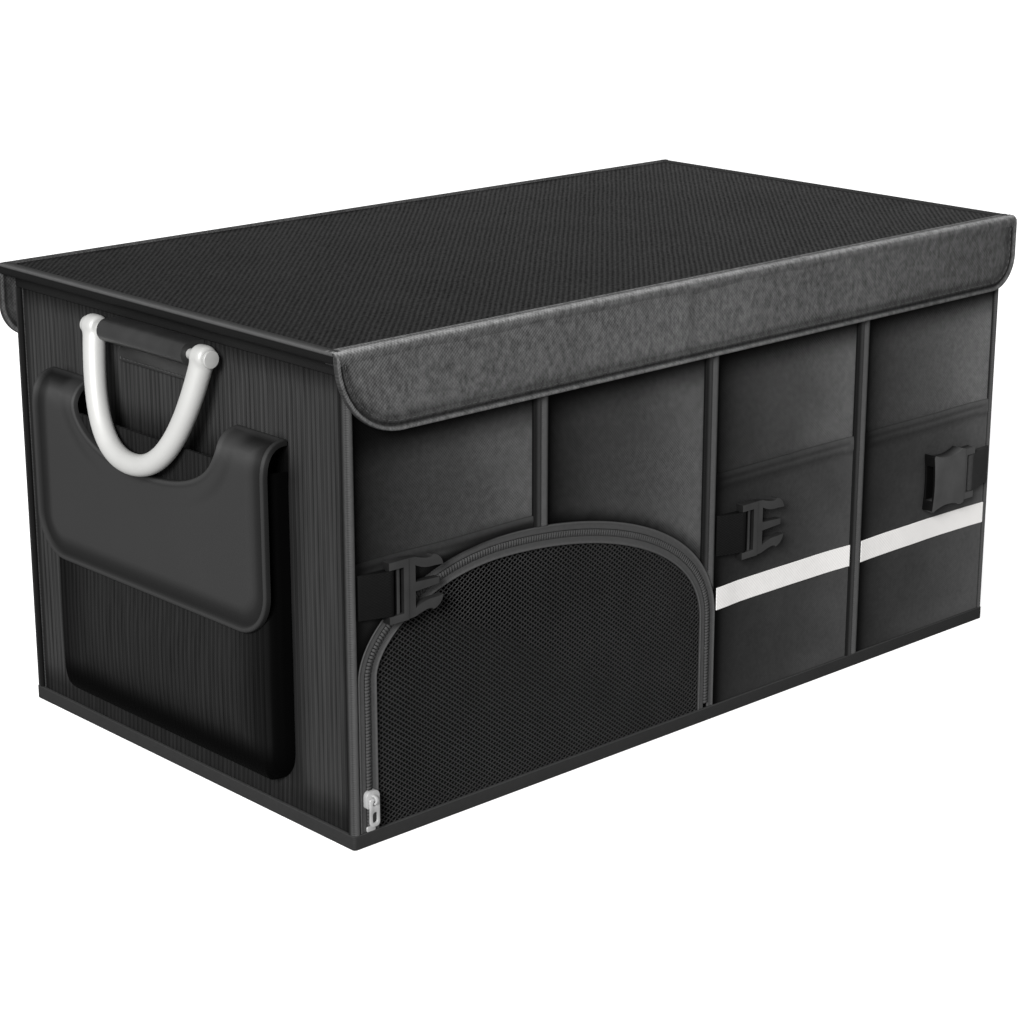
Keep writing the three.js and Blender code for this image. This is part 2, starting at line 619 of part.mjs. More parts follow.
// A waisted housing, hollow towards its mouth
function femaleHalf() {
  const half = femaleHeight / 2;
  const waist = half - femaleWaist;
  const mouth = femaleLength - buckleBarRadius;
  const middle = (femaleSlotEnd + mouth) / 2;
  const shell = new THREE.Shape();
  shell.moveTo(femaleSlotEnd - buckleJoin, half - 1);
  shell.lineTo(femaleSlotEnd - buckleJoin, 1 - half);
  shell.lineTo(femaleSlotEnd + femaleLip, -half);
  shell.quadraticCurveTo(middle, -waist, mouth - 1, -half);
  shell.lineTo(mouth, 1 - half);
  shell.quadraticCurveTo(mouth - femaleLip, 0, mouth, half - 1);
  shell.lineTo(mouth - 1, half);
  shell.quadraticCurveTo(middle, waist, femaleSlotEnd + femaleLip, half);
  const body = prism(shell, 'front', -femaleThickness / 2, femaleThickness / 2);
  const hollow = femaleThickness / 2 - femaleWall;
  const cavity = prism(rectangle(femaleSlotEnd + femaleCavityFrom, femaleWall - waist, 2 * femaleLength,
    waist - femaleWall), 'front', -hollow, hollow);
  return buckleFrame(femaleHeight - 4, femaleThickness - 2, femaleSlotEnd).add(body).subtract(cavity);
}

function buildBuckles() {
  const barY = -(bodyWidth / 2 + buckleStandOff);
  const seat = wallY + 2 * clearance + pocketThickness + hemProud;
  const tabs = [
    ['buckle_male_1', 'webbing_tab_1', maleHalf, maleOneAt, 1, left + cornerFrontLeg + clearance],
    ['buckle_male_2', 'webbing_tab_2', maleHalf, maleTwoAt, 1, seamXs[1] + seamWidth / 2 + clearance],
    ['buckle_female', 'webbing_tab_3', femaleHalf, femaleAt, -1, -left - cornerFrontLeg - clearance],
  ];
  for (const [name, tabName, half, [u, v], side, seamX] of tabs) {
    const holder = new THREE.Group();
    holder.position.set(left + u, barY, v);
    organizer.add(holder);
    const reach = Math.abs(left + u - seamX);
    const turn = (solid) => (side > 0 ? solid : solid.rotate([0, 180, 0]));
    piece(name, turn(half()), blackPlastic, holder);
    piece(tabName, turn(webbingTab(reach, -barY - seat)), bindingTape, holder);
  }
}

// One end: pocket, flap with a scooped top, and the bail handle on its rod; the other end is turned round
function flapBand(inner, outer) {
  const start = clearance + flapThickness / 2;
  const curve = new THREE.QuadraticBezierCurve(
    point(start, endFlap.top - flapThickness / 2), point(endFlapOffset, endFlap.top - flapThickness / 2),
    point(endFlapOffset, endFlap.top - endFlapShoulder));
  const spine = [...curve.getPoints(7), point(endFlapOffset, endFlap.bottom - endFlapShoulder)];
  spine.unshift(point(clearance, spine[0].y));
  const side = (distance) => spine.map((here, index) => {
    const before = spine[Math.max(index - 1, 0)];
    const after = spine[Math.min(index + 1, spine.length - 1)];
    const along = after.clone().sub(before).normalize();
    return point(here.x - along.y * distance, here.y + along.x * distance);
  });
  const band = [...side(outer), ...side(inner).reverse()].map((p) => point(-wallX - p.x, p.y));
  return prism(band, 'front', -bodyWidth, bodyWidth);
}

function flapOutline() {
  const { centre, halfWidth, bottom, top, corner } = endFlap;
  const frame = roundedRectangle(centre - halfWidth, bottom, centre + halfWidth, top, [corner, corner, 0, 0], 6);
  const bay = new THREE.CubicBezierCurve(
    point(centre + scoop.halfWidth, scoop.knee),
    point(centre + scoop.halfWidth * scoop.flank, scoop.bottom + scoop.flankRise),
    point(centre + scoop.halfWidth * scoop.floor, scoop.bottom), point(centre, scoop.bottom)).getPoints(8);
  const other = bay.slice(0, -1).reverse().map((p) => point(2 * centre - p.x, p.y));
  const notch = [point(centre + scoop.halfWidth, top), ...bay, ...other, point(centre - scoop.halfWidth, top)];
  return [...frame.slice(0, -1), ...notch, frame.at(-1)];
}

function endPocketShell() {
  const { centre, halfWidth, gusset, bottom, gussetBottom, top } = endPocket;
  const outline = (grow, low, high, inset) => roundedRectangle(
    centre - halfWidth - grow + inset, low + inset, centre + halfWidth + grow - inset, high,
    [endPocketCorner, endPocketCorner, 0, 0], 5);
  const face = -wallX - endPocketDepth;
  const outer = loft(outline(gusset, bottom - gussetBottom, top, 0), -wallX - clearance,
    outline(0, bottom, top, 0), face);
  const inner = loft(outline(gusset, bottom - gussetBottom, bodyHeight, endPocketWall), -wallX + clearance,
    outline(0, bottom, bodyHeight, endPocketWall), face + endPocketWall);
  return outer.subtract(inner);
}

function bailSolid() {
  const leg = [
    new THREE.Vector3(0, handleHalfSpan, 0), new THREE.Vector3(0, handleKnee[0], -handleKnee[1]),
    new THREE.Vector3(0, handleFoot, -handleLength), new THREE.Vector3(0, 0, -handleLength)];
  const across = leg.map((p) => new THREE.Vector3(0, -p.y, p.z)).reverse();
  const path = new THREE.CurvePath();
  path.add(new THREE.CubicBezierCurve3(...leg));
  path.add(new THREE.CubicBezierCurve3(...across));
  const section = new THREE.Shape(new THREE.EllipseCurve(0, 0, handleTube, handleTube).getPoints(12).slice(0, -1));
  const tube = solidOf(new THREE.ExtrudeGeometry(section, { steps: 30, extrudePath: path, curveSegments: 12 }));
  const reach = 2 * eyeHalfWidth;
  const eyes = [-1, 1].map((side) => cylinder(eyeRadius, reach, 'y', 20).translate([0, side * handleHalfSpan, 0]));
  const hole = cylinder(rodRadius + clearance, 4 * handleHalfSpan, 'y', 16);
  const roof = cylinder(eyeRadius, 4 * handleHalfSpan, 'y', 20);
  const slice = (from, to) => prism(rectangle(-eyeRadius * 2, from, eyeRadius * 2, to), 'plan', -eyeRadius, eyeRadius);
  const legs = tube.subtract(roof.subtract(slice(-handleHalfSpan - eyeHalfWidth, -handleHalfSpan + eyeHalfWidth))
    .subtract(slice(handleHalfSpan - eyeHalfWidth, handleHalfSpan + eyeHalfWidth)));
  return legs.add(eyes[0]).add(eyes[1]).subtract(hole);
}

function sleeveSolid() {
  const wallGap = handleStandOff - clearance;
  const length = 2 * sleeveHalfLength;
  const pad = prism(rectangle(0, -sleeveRadius, wallGap, sleeveRadius), 'front', -sleeveHalfLength, sleeveHalfLength);
  const patch = prism(rectangle(wallGap - patchThickness, -patchDrop, wallGap, sleeveRadius),
    'front', -sleeveHalfLength, sleeveHalfLength);
  return cylinder(sleeveRadius, length, 'y', 24).add(pad).add(patch)
    .subtract(cylinder(rodRadius + clearance, 2 * length, 'y', 16));
}

function rodSolid() {
  const reach = handleHalfSpan + eyeHalfWidth + clearance;
  const head = [-1, 1].map((side) =>
    cylinder(rodHeadRadius, rodHead, 'y', 20).translate([0, side * (reach + rodHead / 2), 0]));
  return cylinder(rodRadius, 2 * reach + rodHead, 'y', 16).add(head[0]).add(head[1]);
}

function buildEnd(side, turned) {
  const end = new THREE.Group();
  end.rotation.z = turned ? Math.PI : 0;
  organizer.add(end);
  piece(`${side}_end_pocket`, endPocketShell(), darkCloth, end);

  const outline = flapOutline();
  const cut = (inset) => prism(offsetOutline(outline, -inset), 'end', -bodyLength, 0);
  const half = flapThickness / 2;
  piece(`${side}_pocket_flap`, flapBand(-half, half).intersect(cut(flapBindingEdge + clearance)), flapCloth, end);
  const edge = flapBand(-half, half + flapBead).intersect(cut(0).subtract(cut(flapBindingWidth)))
    .subtract(flapBand(-half - clearance, half + clearance).intersect(cut(flapBindingEdge)));
  piece(`${side}_pocket_flap_binding`, edge, bindingTape, end);

  const hanger = new THREE.Group();
  hanger.position.set(-wallX - handleStandOff, handleCentre, handleHeight);
  end.add(hanger);
  piece(`${side}_handle_rod`, rodSolid(), silverMetal, hanger);
  piece(`${side}_handle_sleeve`, sleeveSolid(), sleeveSkin, hanger);
  const bail = piece(`${side}_handle_bail`, bailSolid(), handlePlastic, hanger);
  bail.rotation.y = THREE.MathUtils.degToRad(handleTilt);
}

buildWalls();
buildBottom();
buildBindings();
buildLid();
buildLidFlap('lid_front_flap', -1);
buildLidFlap('lid_rear_flap', 1);
buildMeshDoor();
buildZip();
buildFrontPockets();
buildBuckles();
buildEnd('left', false);
buildEnd('right', true);

export default organizer;
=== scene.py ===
# Folding boot organizer: cloth over board, sewn bindings, a zipped net door and a bail handle on each end.
# Sizes are in millimetres until makeObject turns them into metres. Front is -Y, the left end is -X.
import math

import bmesh
import bpy
import numpy as np
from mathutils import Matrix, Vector
from mathutils.geometry import delaunay_2d_cdt


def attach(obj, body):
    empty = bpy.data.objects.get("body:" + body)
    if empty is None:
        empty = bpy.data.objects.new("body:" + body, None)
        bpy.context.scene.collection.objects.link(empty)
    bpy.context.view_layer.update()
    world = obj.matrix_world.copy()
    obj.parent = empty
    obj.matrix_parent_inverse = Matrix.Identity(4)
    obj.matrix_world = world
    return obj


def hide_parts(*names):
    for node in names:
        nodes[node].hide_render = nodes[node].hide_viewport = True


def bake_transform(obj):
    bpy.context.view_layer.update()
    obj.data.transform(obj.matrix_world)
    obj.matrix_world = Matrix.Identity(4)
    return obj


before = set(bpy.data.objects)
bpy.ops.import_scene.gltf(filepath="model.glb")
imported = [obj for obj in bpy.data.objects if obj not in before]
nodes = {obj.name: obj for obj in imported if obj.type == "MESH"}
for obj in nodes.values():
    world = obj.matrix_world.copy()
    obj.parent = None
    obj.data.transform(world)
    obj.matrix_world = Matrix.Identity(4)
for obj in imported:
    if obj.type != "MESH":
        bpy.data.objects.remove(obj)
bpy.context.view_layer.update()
print("frame loaded:", len(nodes), "nodes")

box = {
    "halfLength": 275.0, "halfWidth": 155.0,
    "wallX": 272.5, "wallY": 152.5, "wallThickness": 4.0, "wallBottom": 3.0, "wallTop": 265.9,
    "bindingBottom": 8.3, "bindingTop": 259.9,
    "seams": (-137.5, 0.0, 137.5), "seamHalf": 5.5, "cornerLeg": 5.0,
}


# Meshes.
def linked(name, data):
    result = bpy.data.objects.new(name, data)
    bpy.context.collection.objects.link(result)
    return result


def reworked(mesh, *changes):
    work = bmesh.new()
    work.from_mesh(mesh)
    for change in changes:
        change(work)
    work.to_mesh(mesh)
    work.free()


def makeObject(name, form, material, smoothAngle=38):
    vertices, faces, shade = form
    mesh = bpy.data.meshes.new(name)
    mesh.from_pydata((np.asarray(vertices, dtype=float) * 0.001).tolist(), [], [list(face) for face in faces])
    reworked(mesh, lambda work: bmesh.ops.recalc_face_normals(work, faces=work.faces),
             lambda work: smoothByAngle(work, smoothAngle))
    if shade is not None:
        paintShade(mesh, shade)
    mesh.materials.append(material)
    return linked(name, mesh)


def paintShade(mesh, shade):
    # painted shade and painted light: how much darker (to -1) or lighter than its finish the cloth is at each vertex,
    # standing in for shadows, shade in the folds and highlights
    layer = mesh.attributes.new("shade", "FLOAT", "POINT")
    layer.data.foreach_set("value", np.asarray(shade, dtype=np.float32))


def smoothByAngle(work, smoothAngle):
    limit = math.radians(smoothAngle)
    for face in work.faces:
        face.smooth = True
    for edge in work.edges:
        edge.smooth = len(edge.link_faces) == 2 and edge.calc_face_angle(0.0) < limit


def settle(piece, body, slotName, *replaced):
    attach(piece, body)
    if replaced:
        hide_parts(*replaced)
    return piece


def addPiece(name, form, material, body, slotName, *replaced, smoothAngle=38):
    return settle(makeObject(name, form, material, smoothAngle), body, slotName, *replaced)


def applied(source, name=None):
    # the evaluated shape as a plain mesh without modifiers
    graph = bpy.context.evaluated_depsgraph_get()
    mesh = bpy.data.meshes.new_from_object(source.evaluated_get(graph))
    label = name or source.name
    bpy.data.objects.remove(source)
    mesh.name = label
    return linked(label, mesh)


def smoothStep(value, low, high):
    share = np.clip((np.asarray(value, dtype=float) - low) / (high - low), 0.0, 1.0)
    return share * share * (3.0 - 2.0 * share)


def near(value, centre, reach):
    # 1 at the centre, fading over the reach on both sides
    return np.exp(-((np.asarray(value, dtype=float) - centre) / reach) ** 2)


def resample(outline, spacing):
    points = []
    for start, end in zip(outline, list(outline[1:]) + [outline[0]]):
        count = max(1, math.ceil(math.dist(start, end) / spacing))
        for step in range(count):
            share = step / count
            points.append((start[0] + (end[0] - start[0]) * share, start[1] + (end[1] - start[1]) * share))
    return np.array(points)


def distanceToLine(points, line, closed=True):
    best = np.full(len(points), 1e9)
    ends = np.roll(line, -1, axis=0) if closed else line[1:]
    for start, end in zip(line if closed else line[:-1], ends):
        along = end - start
        length = max(float(along @ along), 1e-12)
        share = np.clip((points - start) @ along / length, 0.0, 1.0)
        best = np.minimum(best, np.hypot(*(points - start - share[:, None] * along).T))
    return best


def insideLoop(points, loop):
    hits = np.zeros(len(points), dtype=bool)
    for (ax, ay), (bx, by) in zip(loop, np.roll(loop, -1, axis=0)):
        if ay == by:
            continue
        crosses = (ay > points[:, 1]) != (by > points[:, 1])
        hits ^= crosses & (points[:, 0] < ax + (bx - ax) * (points[:, 1] - ay) / (by - ay))
    return hits


def sheetMesh(outline, rings, step, front, back, place, spacing=2.5, tone=None):
    # A cut of cloth: its outline, rows of points beside the edge, an even field inside, and two faces.
    rowHeight, leastAway, rowShare, cellSize = 0.87, 0.55, 0.93, 0.4
    loop = resample(outline, spacing)
    ahead = np.roll(loop, -1, axis=0) - loop
    ahead /= np.maximum(np.hypot(*ahead.T), 1e-9)[:, None]
    normal = np.column_stack([-ahead[:, 1], ahead[:, 0]])
    inward = normal + np.roll(normal, 1, axis=0)
    inward /= np.maximum(np.hypot(*inward.T), 1e-6)[:, None]
    spread = np.maximum((inward * normal).sum(axis=1), 0.5)
    rows = [loop]
    for ring in rings:
        row = loop + inward * (ring / spread)[:, None]
        rows.append(row[insideLoop(row, loop) & (distanceToLine(row, loop) > rowShare * ring)])
    low, high = loop.min(axis=0), loop.max(axis=0)
    lattice = np.array([(u + (0.5 * step if line % 2 else 0.0), v)
                        for line, v in enumerate(np.arange(low[1], high[1], step * rowHeight))
                        for u in np.arange(low[0], high[0], step)])
    free = insideLoop(lattice, loop) & (distanceToLine(lattice, loop) > rings[-1] + leastAway * step)
    rows.append(lattice[free])
    points = np.vstack(rows)
    seen, kept = set(), []
    for index, point in enumerate(points):
        cell = (round(point[0] / cellSize), round(point[1] / cellSize))
        if index < len(loop) or cell not in seen:
            kept.append(index)
        seen.add(cell)
    points = points[kept]
    count = len(loop)
    result = delaunay_2d_cdt([Vector(point) for point in points.tolist()],
                             [(index, (index + 1) % count) for index in range(count)],
                             [list(range(count))], 1, 1e-5)
    flat = np.array([tuple(point) for point in result[0]])
    triangles = [tuple(face) for face in result[2]]
    depth = distanceToLine(flat, loop)
    u, v = flat[:, 0], flat[:, 1]
    faceFront = np.column_stack(place(u, v, front(u, v, depth)))
    faceBack = np.column_stack(place(u, v, back(u, v, depth)))
    total = len(flat)
    faces = triangles + [tuple(total + corner for corner in reversed(face)) for face in triangles]
    uses = {}
    for face in triangles:
        for index in range(3):
            edge = (face[index], face[(index + 1) % 3])
            uses[frozenset(edge)] = uses.get(frozenset(edge), []) + [edge]
    for found in uses.values():
        if len(found) == 1:
            start, end = found[0]
            faces.append((end, start, total + start, total + end))
    shade = None if tone is None else np.tile(tone(u, v, depth), 2)
    return np.vstack([faceFront, faceBack]), faces, shade


def gridMesh(us, vs, front, back, place, tone=None):
    # A slab on a regular grid, for ribs and straight tapes.
    u, v = [part.ravel() for part in np.meshgrid(us, vs)]
    columns, rows = len(us), len(vs)
    total = columns * rows
    vertices = np.vstack([np.column_stack(place(u, v, front(u, v))), np.column_stack(place(u, v, back(u, v)))])
    faces = []
    for row in range(rows - 1):
        for column in range(columns - 1):
            a = row * columns + column
            quad = (a, a + 1, a + 1 + columns, a + columns)
            faces.append(quad)
            faces.append(tuple(total + corner for corner in reversed(quad)))
    rim = (list(range(columns))
           + [row * columns + columns - 1 for row in range(1, rows)]
           + [(rows - 1) * columns + column for column in range(columns - 2, -1, -1)]
           + [row * columns for row in range(rows - 2, 0, -1)])
    for start, end in zip(rim, rim[1:] + rim[:1]):
        faces.append((end, start, total + start, total + end))
    return vertices, faces, None if tone is None else np.tile(tone(u, v), 2)


def tubeFaces(rings, size):
    # faces between rings of points that follow each other, and one at each end
    faces = []
    for start in range(0, (rings - 1) * size, size):
        for index in range(size):
            other = (index + 1) % size
            faces.append((start + index, start + other, start + size + other, start + size + index))
    return faces + [tuple(reversed(range(size))), tuple((rings - 1) * size + index for index in range(size))]


def sweepMesh(path, section, side, out, tones=None):
    # Carries a closed section along a path; side and out are the section's axes at each point.
    path, section = np.asarray(path, dtype=float), np.asarray(section, dtype=float)
    side = np.broadcast_to(np.asarray(side, dtype=float), path.shape)
    out = np.broadcast_to(np.asarray(out, dtype=float), path.shape)
    vertices = (path[:, None, :] + section[None, :, 0, None] * side[:, None, :]
                + section[None, :, 1, None] * out[:, None, :]).reshape(-1, 3)
    return vertices, tubeFaces(len(path), len(section)), None if tones is None else np.tile(tones, len(path))


def bezier(a, b, c, d, count):
    t = np.linspace(0.0, 1.0, count)[:, None]
    a, b, c, d = [np.array(point, dtype=float) for point in (a, b, c, d)]
    return (1 - t) ** 3 * a + 3 * (1 - t) ** 2 * t * b + 3 * (1 - t) * t ** 2 * c + t ** 3 * d


def roundedRectangle(x0, y0, x1, y1, radii, steps=10):
    # radii from the lower left corner round to the upper left one
    corners = [(x0, y0, 1, 1, 1.0), (x1, y0, -1, 1, 1.5), (x1, y1, -1, -1, 0.0), (x0, y1, 1, -1, 0.5)]
    points = []
    for (x, y, towardX, towardY, start), radius in zip(corners, radii):
        if radius <= 0:
            points.append((x, y))
            continue
        for step in range(steps + 1):
            angle = math.pi * (start + 0.5 * step / steps)
            points.append((x + towardX * radius + radius * math.cos(angle),
                           y + towardY * radius + radius * math.sin(angle)))
    return points


def declareSheet(piece, outline, held, *carriers):
    # the cut's size and area are those of the outline that it was made from
    flat = np.asarray(outline, dtype=float) * 0.001
    width, length = (flat.max(axis=0) - flat.min(axis=0)).tolist()
    ahead = np.roll(flat, -1, axis=0)
    area = 0.5 * abs(float(np.sum(flat[:, 0] * ahead[:, 1] - ahead[:, 0] * flat[:, 1])))
    # The area counts at least 0.301 of the length times the height: the cut over the zip's arch is 0.265, so its area
    # counts an allowance for the seam under the tapes as well. A sheet's area may not be under 0.3 of its length
    # times its height.
    leastShare = 0.301
    area = max(area, leastShare * width * length)


def level(height):
    # a face that lies flat at this height
    return lambda u, v, depth=None: np.full(len(u), height)


# Where a point (u, v) of the front or of an end is in the row's frame; h is its distance from the middle plane.
def onFront(u, v, h):
    return u, -h, v


def onEnd(sign):
    return lambda u, v, h: (sign * h, -sign * u, v)


# Materials.
def toLinear(colour):
    channels = [int(colour[place:place + 2], 16) / 255 for place in (1, 3, 5)]
    return [c / 12.92 if c <= 0.04045 else ((c + 0.055) / 1.055) ** 2.4 for c in channels] + [1.0]


def addNode(tree, kind, settings=None, inputs=None):
    node = tree.nodes.new(kind)
    for name, value in (settings or {}).items():
        setattr(node, name, value)
    for key, value in (inputs or {}).items():
        if isinstance(value, bpy.types.NodeSocket):
            tree.links.new(value, node.inputs[key])
        else:
            node.inputs[key].default_value = value
    return node


def startMaterial(name):
    material = bpy.data.materials.new(name)
    material.use_nodes = True
    tree = material.node_tree
    tree.nodes.clear()
    coordinates = addNode(tree, "ShaderNodeTexCoord").outputs["Object"]
    axes = addNode(tree, "ShaderNodeSeparateXYZ", None, {0: coordinates}).outputs
    return material, tree, coordinates, axes


def calculate(tree, operation, first, second=0.0, third=None):
    inputs = {0: first, 1: second}
    if third is not None:
        inputs[2] = third
    return addNode(tree, "ShaderNodeMath", {"operation": operation}, inputs).outputs[0]


def scaled(tree, value, factor, added):
    return calculate(tree, "MULTIPLY_ADD", value, factor, added)


def around(tree, value):
    # noise moved from 0..1 to around nought
    return calculate(tree, "SUBTRACT", value, 0.5)


def wave(tree, along, pitch, phase=0.0):
    # sine over a real pitch in millimetres
    return calculate(tree, "SINE", scaled(tree, along, 2000.0 * math.pi / pitch, phase))


def noise(tree, coordinates, size, stretch=(1.0, 1.0, 1.0), detail=2.0):
    # noise whose patches are about `size` millimetres, longer where stretch is under 1
    mapped = addNode(tree, "ShaderNodeMapping", None,
                     {"Vector": coordinates, "Scale": tuple(1000.0 / size * part for part in stretch)})
    return addNode(tree, "ShaderNodeTexNoise", None,
                   {"Vector": mapped.outputs[0], "Scale": 1.0, "Detail": detail, "Roughness": 0.55}).outputs[0]


def closeMaterial(tree, shader, height, bumpDepth):
    bump = addNode(tree, "ShaderNodeBump", None, {"Distance": bumpDepth * 0.001, "Height": height})
    tree.links.new(bump.outputs[0], shader.inputs["Normal"])
    addNode(tree, "ShaderNodeOutputMaterial", None, {"Surface": shader.outputs[0]})


def blendColour(tree, factor, dark, light):
    return addNode(tree, "ShaderNodeMix", {"data_type": "RGBA"},
                   {0: factor, 6: toLinear(dark), 7: toLinear(light)}).outputs[2]


def shaded(tree, colour):
    # the finish's colour, darkened by painted shade and lightened by painted light where the piece carries them
    shade = addNode(tree, "ShaderNodeAttribute", {"attribute_name": "shade"}).outputs["Fac"]
    return addNode(tree, "ShaderNodeVectorMath", {"operation": "SCALE"},
                   {0: colour, "Scale": calculate(tree, "ADD", shade, 1.0)}).outputs[0]


# what a finish has unless it says otherwise; sizes of threads, slubs and patches are in millimetres
plainWeave = {"plane": "tape", "weaveTone": 0.2, "slubTone": 0.5, "patchTone": 0.2, "slub": 2.0, "patch": 60.0,
              "slubStretch": (1, 1, 1), "bump": 0.03, "specular": 0.05}


def clothMaterial(name, finish):
    # Woven polyester. The weave is two crossed sines on the plane that the cloth lies in.
    look = {**plainWeave, **finish}
    material, tree, coordinates, axes = startMaterial(name)
    if look["plane"] == "tape":
        across, along = calculate(tree, "ADD", axes[0], axes[1]), axes[2]
    else:
        across, along = {"front": (axes[0], axes[2]), "end": (axes[1], axes[2]), "top": axes[:2]}[look["plane"]]
    warp = wave(tree, across, look["thread"])
    weft = wave(tree, along, look["thread"], 0.7)
    weave = calculate(tree, "MULTIPLY", warp, weft)
    if "rib" in look:
        # drawn ribs of two thicknesses, so that the cloth reads as corded
        jitter = scaled(tree, noise(tree, coordinates, 26.0, look["ribStretch"]), 0.0024, across)
        wide = wave(tree, jitter, look["rib"])
        narrow = wave(tree, jitter, look["rib"] * 0.437, 1.1)
        ribs = scaled(tree, narrow, 0.45, wide)
        weave = scaled(tree, ribs, 0.7, calculate(tree, "MULTIPLY", weave, 0.3))
    if "twill" in look:
        # ribs at 45 degrees, broken into dashes where the yarn dips under
        slant = scaled(tree, noise(tree, coordinates, 30.0), 0.002, calculate(tree, "SUBTRACT", across, along))
        dashes = scaled(tree, noise(tree, coordinates, look["dash"], (1, 1, 1), 1.0), 2.6, -0.5)
        broken = calculate(tree, "MULTIPLY", wave(tree, slant, look["twill"]), dashes)
        weave = scaled(tree, broken, 0.9, calculate(tree, "MULTIPLY", weave, 0.2))
    fibre = noise(tree, coordinates, look["slub"], look["slubStretch"], 3.0)
    mottle = noise(tree, coordinates, look["patch"])
    tone = scaled(tree, weave, look["weaveTone"], 0.5)
    tone = scaled(tree, around(tree, fibre), look["slubTone"], tone)
    tone = scaled(tree, around(tree, mottle), look["patchTone"], tone)
    roughness = scaled(tree, fibre, 0.12, look["roughness"])
    shader = addNode(tree, "ShaderNodeBsdfPrincipled", None, {
        "Base Color": shaded(tree, blendColour(tree, tone, look["dark"], look["light"])), "Roughness": roughness,
        "IOR": 1.5, "Specular IOR Level": look["specular"]})
    height = scaled(tree, around(tree, fibre), 0.5, weave)
    closeMaterial(tree, shader, height, look["bump"])
    return material


def mouldedMaterial(name, look):
    # Moulded or coated plastic: even colour, faint flow marks and a fine skin.
    material, tree, coordinates, _ = startMaterial(name)
    flow = noise(tree, coordinates, look["flow"])
    skin = noise(tree, coordinates, look["grain"])
    roughness = scaled(tree, flow, look["roughSpread"], look["roughness"])
    shader = addNode(tree, "ShaderNodeBsdfPrincipled", None, {
        "Base Color": shaded(tree, blendColour(tree, flow, look["dark"], look["light"])), "Roughness": roughness,
        "Metallic": look.get("metallic", 0.0), "IOR": 1.5, "Specular IOR Level": 0.25,
        "Coat Weight": look.get("coat", 0.0), "Coat Roughness": 0.25})
    closeMaterial(tree, shader, skin, look["bump"])
    return material


finishes = {
    # 600D polyester oxford over board: matt, a plain weave that catches light on its crowns
    "oxfordFront": {"plane": "front", "thread": 1.9, "dark": "#2f2f2f", "light": "#4d4d4d", "roughness": 0.78,
                    "slubTone": 0.9, "patchTone": 0.4, "slub": 3.2, "patch": 34.0, "bump": 0.1},
    "oxfordLining": {"plane": "front", "thread": 1.7, "dark": "#0b0b0b", "light": "#171717", "roughness": 0.85,
                     "slubTone": 0.4, "patchTone": 0.3, "slub": 3.0, "bump": 0.08},
    # corded oxford on the ends: fine upright ribs, drawn at 4 mm where the real cords are about 2 mm
    "cordedEnd": {"plane": "end", "thread": 1.5, "rib": 4.0, "ribStretch": (1.0, 1.0, 0.06), "dark": "#1d1d1d",
                  "light": "#414141", "roughness": 0.78, "weaveTone": 0.3, "slubTone": 0.9, "slub": 2.2,
                  "slubStretch": (1.0, 1.0, 0.04), "bump": 0.12},
    # heavier lid cloth: a broken twill with ribs about 3 mm apart
    "ribbedLid": {"plane": "top", "thread": 1.6, "twill": 4.3, "dash": 2.6, "dark": "#121212", "light": "#494949",
                  "roughness": 0.82, "weaveTone": 0.3, "slubTone": 1.1, "slub": 2.2, "bump": 0.16},
    # lighter weave of the hanging flaps, with slubs along its upright threads
    "oxfordFlap": {"plane": "front", "thread": 2.2, "dark": "#383838", "light": "#6a6a6a", "roughness": 0.76,
                   "weaveTone": 0.12, "slubTone": 1.5, "patchTone": 0.35, "slub": 2.5,
                   "slubStretch": (1.0, 1.0, 0.65), "bump": 0.12},
    # thin pocket cloth, a little darker than the panels
    "pocketCloth": {"plane": "front", "thread": 1.4, "dark": "#2a2a2a", "light": "#434343", "roughness": 0.76,
                    "weaveTone": 0.15, "slubTone": 0.6, "patchTone": 0.6, "slub": 2.8, "patch": 38.0, "bump": 0.06},
    # folded grosgrain binding: smooth, slightly shiny
    "bindingTape": {"thread": 1.3, "dark": "#383838", "light": "#545454", "roughness": 0.6, "patchTone": 0.25,
                    "bump": 0.06, "specular": 0.12},
    # tight black webbing of the buckle tabs
    "tabWebbing": {"thread": 1.6, "dark": "#0b0b0b", "light": "#181818", "roughness": 0.7, "weaveTone": 0.3,
                   "patchTone": 0.1, "bump": 0.08},
    "zipTape": {"thread": 1.2, "dark": "#3b3b3b", "light": "#565656", "roughness": 0.66, "slubTone": 0.6,
                "patchTone": 0.25, "bump": 0.06},
    "netCord": {"thread": 0.9, "dark": "#282828", "light": "#424242", "roughness": 0.7, "patchTone": 0.5,
                "patch": 30.0, "slub": 1.5},
    "sewingThread": {"thread": 0.8, "dark": "#3c3c3c", "light": "#5c5c5c", "roughness": 0.6, "weaveTone": 0.3,
                     "slubTone": 0.4, "patchTone": 0.1, "slub": 1.0},
    # retroreflective tape: pale grey beads under a fine lattice
    "beadedTape": {"plane": "front", "thread": 2.2, "dark": "#e2e0de", "light": "#fcfaf8", "roughness": 0.42,
                   "weaveTone": 0.35, "slub": 4.0, "specular": 0.3},
    # calendered cloth of the end flaps, nearly plain
    "calenderedFlap": {"plane": "end", "thread": 1.1, "dark": "#2e2e2e", "light": "#383838", "roughness": 0.55,
                       "weaveTone": 0.08, "slubTone": 0.2, "patchTone": 0.3, "bump": 0.02, "specular": 0.12},
}
finishes["cordedPocket"] = {**finishes["cordedEnd"], "dark": "#121212", "light": "#2d2d2d", "roughness": 0.82,
                            "slubTone": 1.0}
cloth = {name: clothMaterial(name, look) for name, look in finishes.items()}

